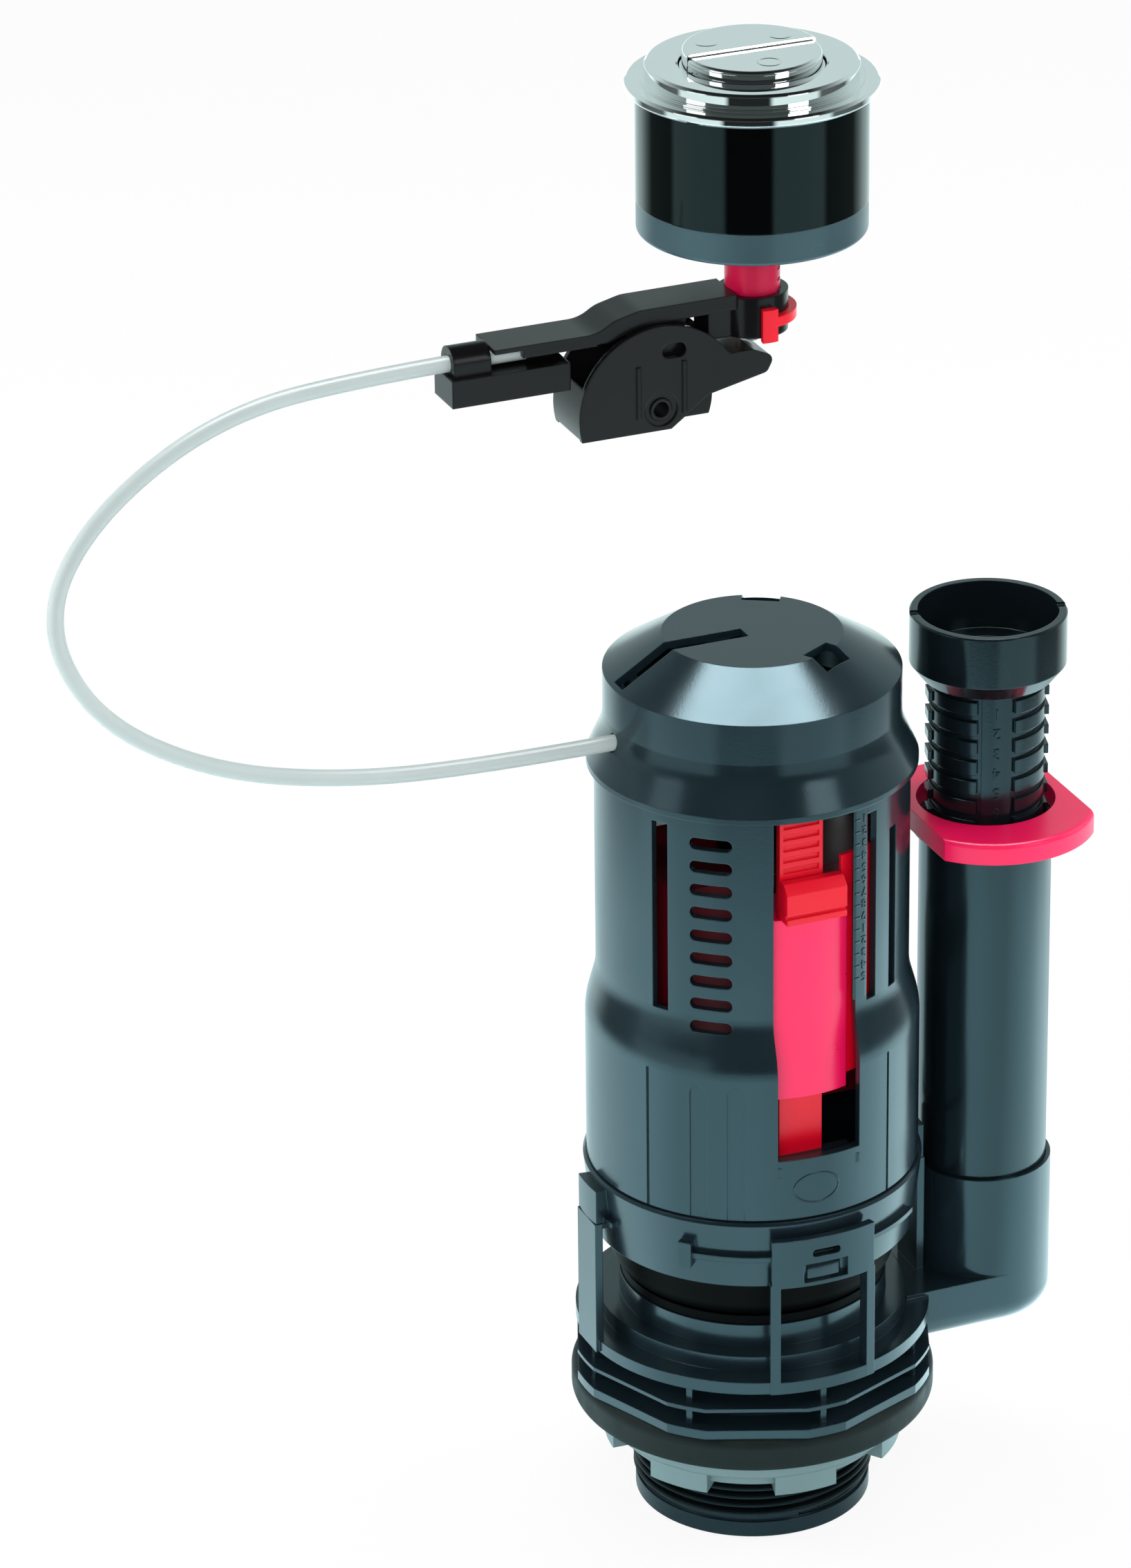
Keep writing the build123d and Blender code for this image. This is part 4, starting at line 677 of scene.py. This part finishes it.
@dataclass
class FlushMarks:
    """Ring and half-ring flush marks on the two button halves."""

    front_top: float = 377.0
    rear_top: float = 377.9
    radius: float = 2.7
    bead: float = 0.32
    sunk: float = 0.2
    full_spot: tuple[float, float] = (0.0, -9.7)
    left_spot: tuple[float, float] = (-8.7, 6.4)
    right_spot: tuple[float, float] = (9.0, 4.4)
    steps: int = 64
    sides: int = 8

    def ring(
        self, name: str, spot: tuple[float, float], top: float, span: float, body: str
    ) -> None:
        """Run a bead round an arc of a level circle, from its left end by the front.

        The arc's centre line is (x - R cos s, y - R sin s); the bead's circle of angle c adds
        cos c to R and sin c to the height.

        Args:
            name: the piece's name.
            spot: x and y of the centre in mm.
            top: height of the face in mm.
            span: part of the circle, from 0 to 1.
            body: the CAD body it rides on.
        """
        along = np.linspace(0, 2 * pi * span, self.steps)[:, None]
        circle = np.linspace(0, 2 * pi, self.sides, endpoint=False)
        reach = self.radius + self.bead * np.cos(circle)
        height = top - self.sunk + self.bead * np.sin(circle)
        across, deep = spot[0] - reach * np.cos(along), spot[1] - reach * np.sin(along)
        points = np.stack(np.broadcast_arrays(across, deep, height), axis=-1)
        grid_piece(name, points, Finishes.CHROME, body, "chrome_plate")

    def build(self) -> None:
        """Put the ring on the full-flush half and two half rings on the other."""
        self.ring("full_flush_mark", self.full_spot, self.front_top, WHOLE_RING, "full_button")
        for side, spot in (("left", self.left_spot), ("right", self.right_spot)):
            self.ring(f"half_flush_mark_{side}", spot, self.rear_top, HALF_RING, "half_button")


class SpringSide(Enum):
    """Which half a spring returns: node, joint, sign of Y, share of its height when pressed."""

    FULL = ("full_button_spring", "full_flush_press", -1, 0.54)
    HALF = ("half_button_spring", "half_flush_press", 1, 0.66)


@dataclass
class ButtonSpring:
    """Coil spring under one button half."""

    side: SpringSide
    offset: float = 9.5
    seat: float = 338.0
    low: float = 338.55
    rise: float = 10.9
    turns: float = 5.0
    coil: float = 3.4
    wire: float = 0.5
    steps_per_turn: int = 40
    sides: int = 10

    def build(self) -> None:
        """Carry a circle along a helix.

        The helix is (R cos t, y + R sin t, z0 + rise t / T); the wire's circle of angle c adds
        cos c to R and sin c to the height.
        """
        node, joint, sign, keep = self.side.value
        steps = int(self.steps_per_turn * self.turns)
        along = np.linspace(0, 2 * pi * self.turns, steps)[:, None]
        circle = np.linspace(0, 2 * pi, self.sides, endpoint=False)
        reach = self.coil + self.wire * np.cos(circle)
        height = self.low + self.rise * along / along[-1] + self.wire * np.sin(circle)
        across, deep = reach * np.cos(along), sign * self.offset + reach * np.sin(along)
        points = np.stack([across, deep, height], axis=-1)
        piece = grid_piece(f"{node}_coil", points, Finishes.STEEL, "housing", "steel")
        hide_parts(node)
        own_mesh(piece)


@dataclass
class PullCable:
    """Sheathed cable from the lever box to the cap."""

    route: tuple[tuple[float, float], ...] = (
        (-57.5, 312.2),
        (-93.5, 312.2),
        (-131.7, 308.7),
        (-162.9, 289.4),
        (-176.3, 265.9),
        (-165.7, 239.4),
        (-138.4, 221.0),
        (-105.0, 212.1),
        (-68.0, 209.2),
        (-33.0, 209.2),
    )
    diameter: float = 4.0
    length: float = 302.0
    section_detail: int = 5
    span_detail: int = 16
    spline_order: int = 3

    def build(self) -> None:
        curve = bpy.data.curves.new("pull_cable", "CURVE")
        curve.dimensions = "3D"
        curve.bevel_depth = self.diameter / 2 * MM
        curve.bevel_resolution = self.section_detail
        curve.resolution_u = self.span_detail
        curve.use_fill_caps = True
        spline = curve.splines.new("NURBS")
        spline.points.add(len(self.route) - 1)
        for point, (x, z) in zip(spline.points, self.route):
            point.co = (x * MM, 0.0, z * MM, 1.0)
        spline.order_u = self.spline_order
        spline.use_endpoint_u = True
        cable = bpy.data.objects.new("pull_cable", curve)
        bpy.context.scene.collection.objects.link(cable)
        curve.materials.append(Finishes.SHEATH.value.material())
        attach(cable, "housing")
        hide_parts("cable_sheath")
        LOG.info("piece pull_cable")


# Brightness of the room round the camera's axis, as gloss sees it in the floor close by and far
# off: degrees to the right of the camera, then radiance
NEAR_ROOM = (
    (-180, 1.1),
    (-140, 1.4),
    (-105, 2.1),
    (-75, 2.7),
    (-48, 2.0),
    (-24, 2.1),
    (0, 2.2),
    (24, 1.9),
    (48, 1.7),
    (75, 2.6),
    (110, 3.2),
    (140, 1.6),
    (165, 0.2),
    (180, 0.1),
)
FAR_ROOM = (
    (-180, 1.6),
    (-135, 1.4),
    (-115, 0.12),
    (-86, 0.12),
    (-80, 0.9),
    (-29, 0.95),
    (-24, 0.02),
    (18, 0.02),
    (23, 0.95),
    (72, 0.9),
    (78, 0.12),
    (115, 0.12),
    (135, 1.4),
    (180, 1.6),
)
# Radiance that a full-scale stop of the ramps stands for, and the cool casts of the two rooms
ROOM_PEAK = 3.6
NEAR_CAST = (0.70, 0.95, 1.0)
FAR_CAST = (0.82, 1.0, 0.99)


class LampRole(Enum):
    """What a lamp does: soft fill on the matt surfaces, or a box that shows in the gloss."""

    FILL = "fill"
    GLEAM = "gleam"


@dataclass(frozen=True)
class Lamp:
    """A soft box that looks at the valve.

    Attributes:
        name: the lamp's name.
        place: degrees to the right of the camera, degrees of rise, distance in metres.
        size: its width and height in metres.
        watts: its power.
        role: whether it fills or gleams.
        spares: nodes and pieces that its light passes by, neither lit nor in the way.
    """

    name: str
    place: tuple[float, float, float]
    size: tuple[float, float]
    watts: float
    role: LampRole
    spares: tuple[str, ...] = ()


# The button and the lever box, which hang over the cap
UPPER_GROUP = (
    "bezel",
    "full_flush_button",
    "half_flush_button",
    "button_sleeve",
    "button_lock_ring",
    "guide_tube",
    "push_rod",
    "lever",
    "lever_frame",
    "pivot_pin",
    "frame_clip",
    "cable_clamp",
    "upper_ferrule",
    "upper_wire",
    "full_flush_mark",
    "half_flush_mark_left",
    "half_flush_mark_right",
)
LAMPS = (
    Lamp("left_box", (-95.0, 12.0, 1.3), (0.6, 1.2), 14.0, LampRole.FILL),
    Lamp("right_box", (105.0, 12.0, 1.3), (0.6, 1.2), 14.0, LampRole.FILL),
    Lamp("front_box", (-4.0, 24.0, 1.9), (1.2, 0.35), 16.0, LampRole.FILL),
    Lamp("sky_box", (180.0, 80.0, 1.5), (0.9, 0.7), 6.0, LampRole.FILL),
    Lamp("top_gleam", (180.0, 83.0, 1.5), (1.38, 0.6), 38.0, LampRole.GLEAM, UPPER_GROUP),
    Lamp("right_gleam", (50.0, 24.0, 1.5), (0.55, 0.6), 2.6, LampRole.GLEAM),
    Lamp("left_gleam", (-62.0, 24.0, 1.5), (0.55, 0.6), 1.3, LampRole.GLEAM),
)

# Stops that a new colour ramp already has
RAMP_STOPS = 2


@dataclass
class Studio:
    """Camera, floor, light and world.

    Attributes:
        target: point on the valve's axis that the view is fitted to, in mm.
        distance: from there to the camera, in mm.
        azimuth: degrees that the camera stands round from the front, towards +X.
        elevation: degrees that it stands above the horizon.
        focal_px: focal length in pixels of the photo.
        frame_height_px: height of the photo.
        offset_px: how far the valve's axis stands right of the photo's middle.
        far_clip: depth of view in metres.
        floor_low: height of the floor in mm, just under the tail.
        floor_half: half of its width in metres.
        floor_colour: sRGB hex of the floor.
        floor_glow: share of plain white in what the camera sees of it.
        near_reach: distance in metres to which gloss sees the near room in the floor.
        far_reach: distance from which it sees the far room.
        foot_reach: distance to which the floor's glow in the gloss stays dim under the valve, as a
            painted shadow.
        open_reach: distance from which it is at full strength.
        foot_share: share of the strength under the valve, in that painted shadow.
        soft_level: the world's strength as soft light.
        front_span: share of a direction towards the camera over which the world's gloss falls.
        front_levels: its strength at the two ends of that span.
        overhead_span: share of a direction upwards over which it falls again.
        overhead_levels: the factors at the two ends of that span.
    """

    target: tuple[float, float, float] = (0.0, 0.0, 191.6)
    distance: float = 1720.0
    azimuth: float = -24.0
    elevation: float = 24.8
    focal_px: float = 10366.0
    frame_height_px: float = 2268.0
    offset_px: float = 270.0
    far_clip: float = 20.0
    floor_low: float = -0.6
    floor_half: float = 6.0
    floor_colour: str = "#f4f5f5"
    floor_glow: float = 0.88
    near_reach: float = 0.36
    far_reach: float = 0.56
    foot_reach: float = 0.045
    open_reach: float = 0.085
    foot_share: float = 0.25
    soft_level: float = 0.5
    front_span: tuple[float, float] = (-0.6, 0.7)
    front_levels: tuple[float, float] = (0.72, 0.08)
    overhead_span: tuple[float, float] = (0.48, 0.8)
    overhead_levels: tuple[float, float] = (1.0, 0.05)

    def heading(self, right_of_camera: float, rise: float) -> Vector:
        """Give the unit vector from the valve towards a place round the camera's axis.

        Args:
            right_of_camera: degrees to the right of the camera, seen from it.
            rise: degrees above the horizon.

        Returns:
            The unit vector in the row frame.
        """
        turn, up = radians(self.azimuth + right_of_camera), radians(rise)
        return Vector((sin(turn) * cos(up), -cos(turn) * cos(up), sin(up)))

    def camera(self) -> None:
        """Place the camera, turned so that the valve's axis stands right of the middle."""
        away = self.heading(0.0, self.elevation)
        right = self.heading(90.0, 0.0)
        yaw = atan(self.offset_px / self.focal_px)
        back = away * cos(yaw) + right * sin(yaw)
        side = right * cos(yaw) - away * sin(yaw)
        up = back.cross(side)
        data = bpy.data.cameras.new("photo_camera")
        data.lens = data.sensor_width * self.focal_px / self.frame_height_px
        data.clip_end = self.far_clip
        holder = bpy.data.objects.new("photo_camera", data)
        bpy.context.scene.collection.objects.link(holder)
        spot = Vector(self.target) * MM + away * self.distance * MM
        turned = Matrix((side, up, back)).transposed().to_4x4()
        holder.matrix_world = Matrix.Translation(spot) @ turned
        bpy.context.scene.camera = holder

    def hang(self, lamp: Lamp) -> None:
        """Hang one lamp so that it looks at the valve.

        Args:
            lamp: the lamp's name, place, size, power, role and what it spares.
        """
        data = bpy.data.lights.new(lamp.name, "AREA")
        data.shape = "RECTANGLE"
        data.size, data.size_y = lamp.size
        data.energy = lamp.watts
        holder = bpy.data.objects.new(lamp.name, data)
        bpy.context.scene.collection.objects.link(holder)
        holder.visible_diffuse = lamp.role is LampRole.FILL
        holder.visible_glossy = lamp.role is LampRole.GLEAM
        turn, rise, distance = lamp.place
        toward = self.heading(turn, rise)
        holder.location = Vector(self.target) * MM + toward * distance
        holder.rotation_euler = (-toward).to_track_quat("-Z", "Y").to_euler()
        if lamp.spares:
            spared = bpy.data.collections.new(lamp.name + "_spares")
            for name in lamp.spares:
                spared.objects.link(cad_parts.get(name) or bpy.data.objects[name])
            for entry in spared.collection_objects:
                entry.light_linking.link_state = "EXCLUDE"
            holder.light_linking.receiver_collection = spared
            holder.light_linking.blocker_collection = spared

    def round_about(
        self,
        tree: bpy.types.NodeTree,
        direction: bpy.types.NodeSocket,
        stops: tuple[tuple[float, float], ...],
        cast: tuple[float, float, float],
    ) -> bpy.types.NodeSocket:
        """Read the room's colour off its stops for a direction.

        The angle round the camera's axis is atan2(d . right, d . front), scaled to 0..1 for a
        colour ramp whose stops are the room's, as shares of the peak radiance.

        Args:
            tree: node tree that takes the nodes.
            direction: vector socket with the direction.
            stops: degrees to the right of the camera and radiance.
            cast: colour of the light.

        Returns:
            The socket with the colour, in shares of the peak.
        """
        parts = [
            add_node(
                tree,
                "ShaderNodeVectorMath",
                {0: direction, 1: self.heading(turn, 0.0)},
                operation="DOT_PRODUCT",
            ).outputs["Value"]
            for turn in (90.0, 0.0)
        ]
        angle = add_node(
            tree, "ShaderNodeMath", {0: parts[0], 1: parts[1]}, operation="ARCTAN2"
        ).outputs[0]
        share = add_node(
            tree, "ShaderNodeMapRange", {"Value": angle, "From Min": -pi, "From Max": pi}
        ).outputs["Result"]
        ramp = add_node(tree, "ShaderNodeValToRGB", {"Fac": share})
        points = ramp.color_ramp.elements
        for number, (degrees, level) in enumerate(stops):
            point = points[number] if number < RAMP_STOPS else points.new(1.0)
            point.position = (degrees + 180) / 360
            point.color = (*(level / ROOM_PEAK * part for part in cast), 1.0)
        return ramp.outputs["Color"]

    def floor(self) -> None:
        """Lay a plain pale floor, near white to the camera, that gives gloss the room's boxes."""
        mesh = bpy.data.meshes.new("floor")
        half, low = self.floor_half, self.floor_low * MM
        corners = [(-half, -half, low), (half, -half, low), (half, half, low), (-half, half, low)]
        mesh.from_pydata(corners, [], [(0, 1, 2, 3)])
        made = bpy.data.materials.new("pale_floor")
        made.use_nodes = True
        tree = made.node_tree
        tree.nodes.clear()
        path = add_node(tree, "ShaderNodeLightPath").outputs
        place = add_node(tree, "ShaderNodeTexCoord").outputs["Object"]
        reach = add_node(
            tree, "ShaderNodeVectorMath", {0: place}, operation="LENGTH"
        ).outputs["Value"]
        far = add_node(
            tree,
            "ShaderNodeMapRange",
            {"Value": reach, "From Min": self.near_reach, "From Max": self.far_reach},
        ).outputs["Result"]
        near_colour = self.round_about(tree, place, NEAR_ROOM, NEAR_CAST)
        far_colour = self.round_about(tree, place, FAR_ROOM, FAR_CAST)
        room = add_node(
            tree,
            "ShaderNodeMix",
            {"Factor": far, MIX_FROM: near_colour, MIX_TO: far_colour},
            data_type="RGBA",
        ).outputs[MIX_RESULT]
        plain = add_node(
            tree, "ShaderNodeBsdfDiffuse", {"Color": linear(self.floor_colour)}
        ).outputs[0]
        glow = add_node(tree, "ShaderNodeEmission", {"Color": WHITE, "Strength": 1.0}).outputs[0]
        pale = add_node(
            tree, "ShaderNodeMixShader", {0: self.floor_glow, 1: plain, 2: glow}
        ).outputs[0]
        # Painted shadow: the room's glow in the gloss is dimmed under the valve, for the shade the
        # valve casts on the floor
        painted_shadow = add_node(
            tree,
            "ShaderNodeMapRange",
            {
                "Value": reach,
                "From Min": self.foot_reach,
                "From Max": self.open_reach,
                "To Min": self.foot_share * ROOM_PEAK,
                "To Max": ROOM_PEAK,
            },
        ).outputs["Result"]
        boxes = add_node(tree, "ShaderNodeEmission", {"Color": room, "Strength": painted_shadow}).outputs[0]
        straight = add_node(
            tree, "ShaderNodeMixShader", {0: path["Is Camera Ray"], 1: plain, 2: pale}
        ).outputs[0]
        mixed = add_node(
            tree, "ShaderNodeMixShader", {0: path["Is Glossy Ray"], 1: straight, 2: boxes}
        ).outputs[0]
        add_node(tree, "ShaderNodeOutputMaterial", {"Surface": mixed})
        mesh.materials.append(made)
        floor = bpy.data.objects.new("floor", mesh)
        bpy.context.scene.collection.objects.link(floor)

    def world(self) -> None:
        """Make the world white to the camera, soft grey as light and a graded room in gloss."""
        world = bpy.data.worlds.new("studio")
        world.use_nodes = True
        bpy.context.scene.world = world
        tree = world.node_tree
        tree.nodes.clear()
        path = add_node(tree, "ShaderNodeLightPath").outputs
        seen = add_node(
            tree,
            "ShaderNodeMath",
            {0: path["Is Camera Ray"], 1: path["Is Transmission Ray"]},
            operation="MAXIMUM",
        ).outputs[0]
        direction = add_node(tree, "ShaderNodeTexCoord").outputs["Generated"]
        before = add_node(
            tree,
            "ShaderNodeVectorMath",
            {0: direction, 1: self.heading(0.0, 0.0)},
            operation="DOT_PRODUCT",
        ).outputs["Value"]
        high = add_node(tree, "ShaderNodeSeparateXYZ", {"Vector": direction}).outputs["Z"]
        level, overhead = (
            add_node(
                tree,
                "ShaderNodeMapRange",
                {
                    "Value": share,
                    "From Min": span[0],
                    "From Max": span[1],
                    "To Min": levels[0],
                    "To Max": levels[1],
                },
            ).outputs["Result"]
            for share, span, levels in (
                (before, self.front_span, self.front_levels),
                (high, self.overhead_span, self.overhead_levels),
            )
        )
        graded = add_node(
            tree, "ShaderNodeMath", {0: level, 1: overhead}, operation="MULTIPLY"
        ).outputs[0]
        soft, room, white = (
            add_node(tree, "ShaderNodeBackground", {"Color": cast, "Strength": strength}).outputs[0]
            for cast, strength in (
                (WHITE, self.soft_level),
                ((*FAR_CAST, 1.0), graded),
                (WHITE, 1.0),
            )
        )
        lit = add_node(
            tree, "ShaderNodeMixShader", {0: path["Is Glossy Ray"], 1: soft, 2: room}
        ).outputs[0]
        mixed = add_node(tree, "ShaderNodeMixShader", {0: seen, 1: lit, 2: white}).outputs[0]
        add_node(tree, "ShaderNodeOutputWorld", {"Surface": mixed})

    def build(self) -> None:
        """Set up the whole studio."""
        self.camera()
        self.floor()
        self.world()
        for lamp in LAMPS:
            self.hang(lamp)
        bpy.context.scene.view_settings.view_transform = "Standard"


def dress_nodes() -> None:
    """Give every shown CAD node its finish."""
    for name, finish in NODE_FINISH.items():
        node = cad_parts[name]
        node.data.materials.clear()
        node.data.materials.append(finish.value.material())


def main() -> None:
    """Dress the nodes, add the pieces in order and build the studio round them."""
    logging.basicConfig(level=logging.INFO, format="%(message)s")
    PullCable().build()
    dress_nodes()
    TailThread().build()
    OverflowScale().build()
    TowerScale().build()
    FloatWing().build()
    EjectorMark().build()
    FlushMarks().build()
    for side in SpringSide:
        ButtonSpring(side).build()
    Studio().build()


if __name__ == "__main__":
    main()
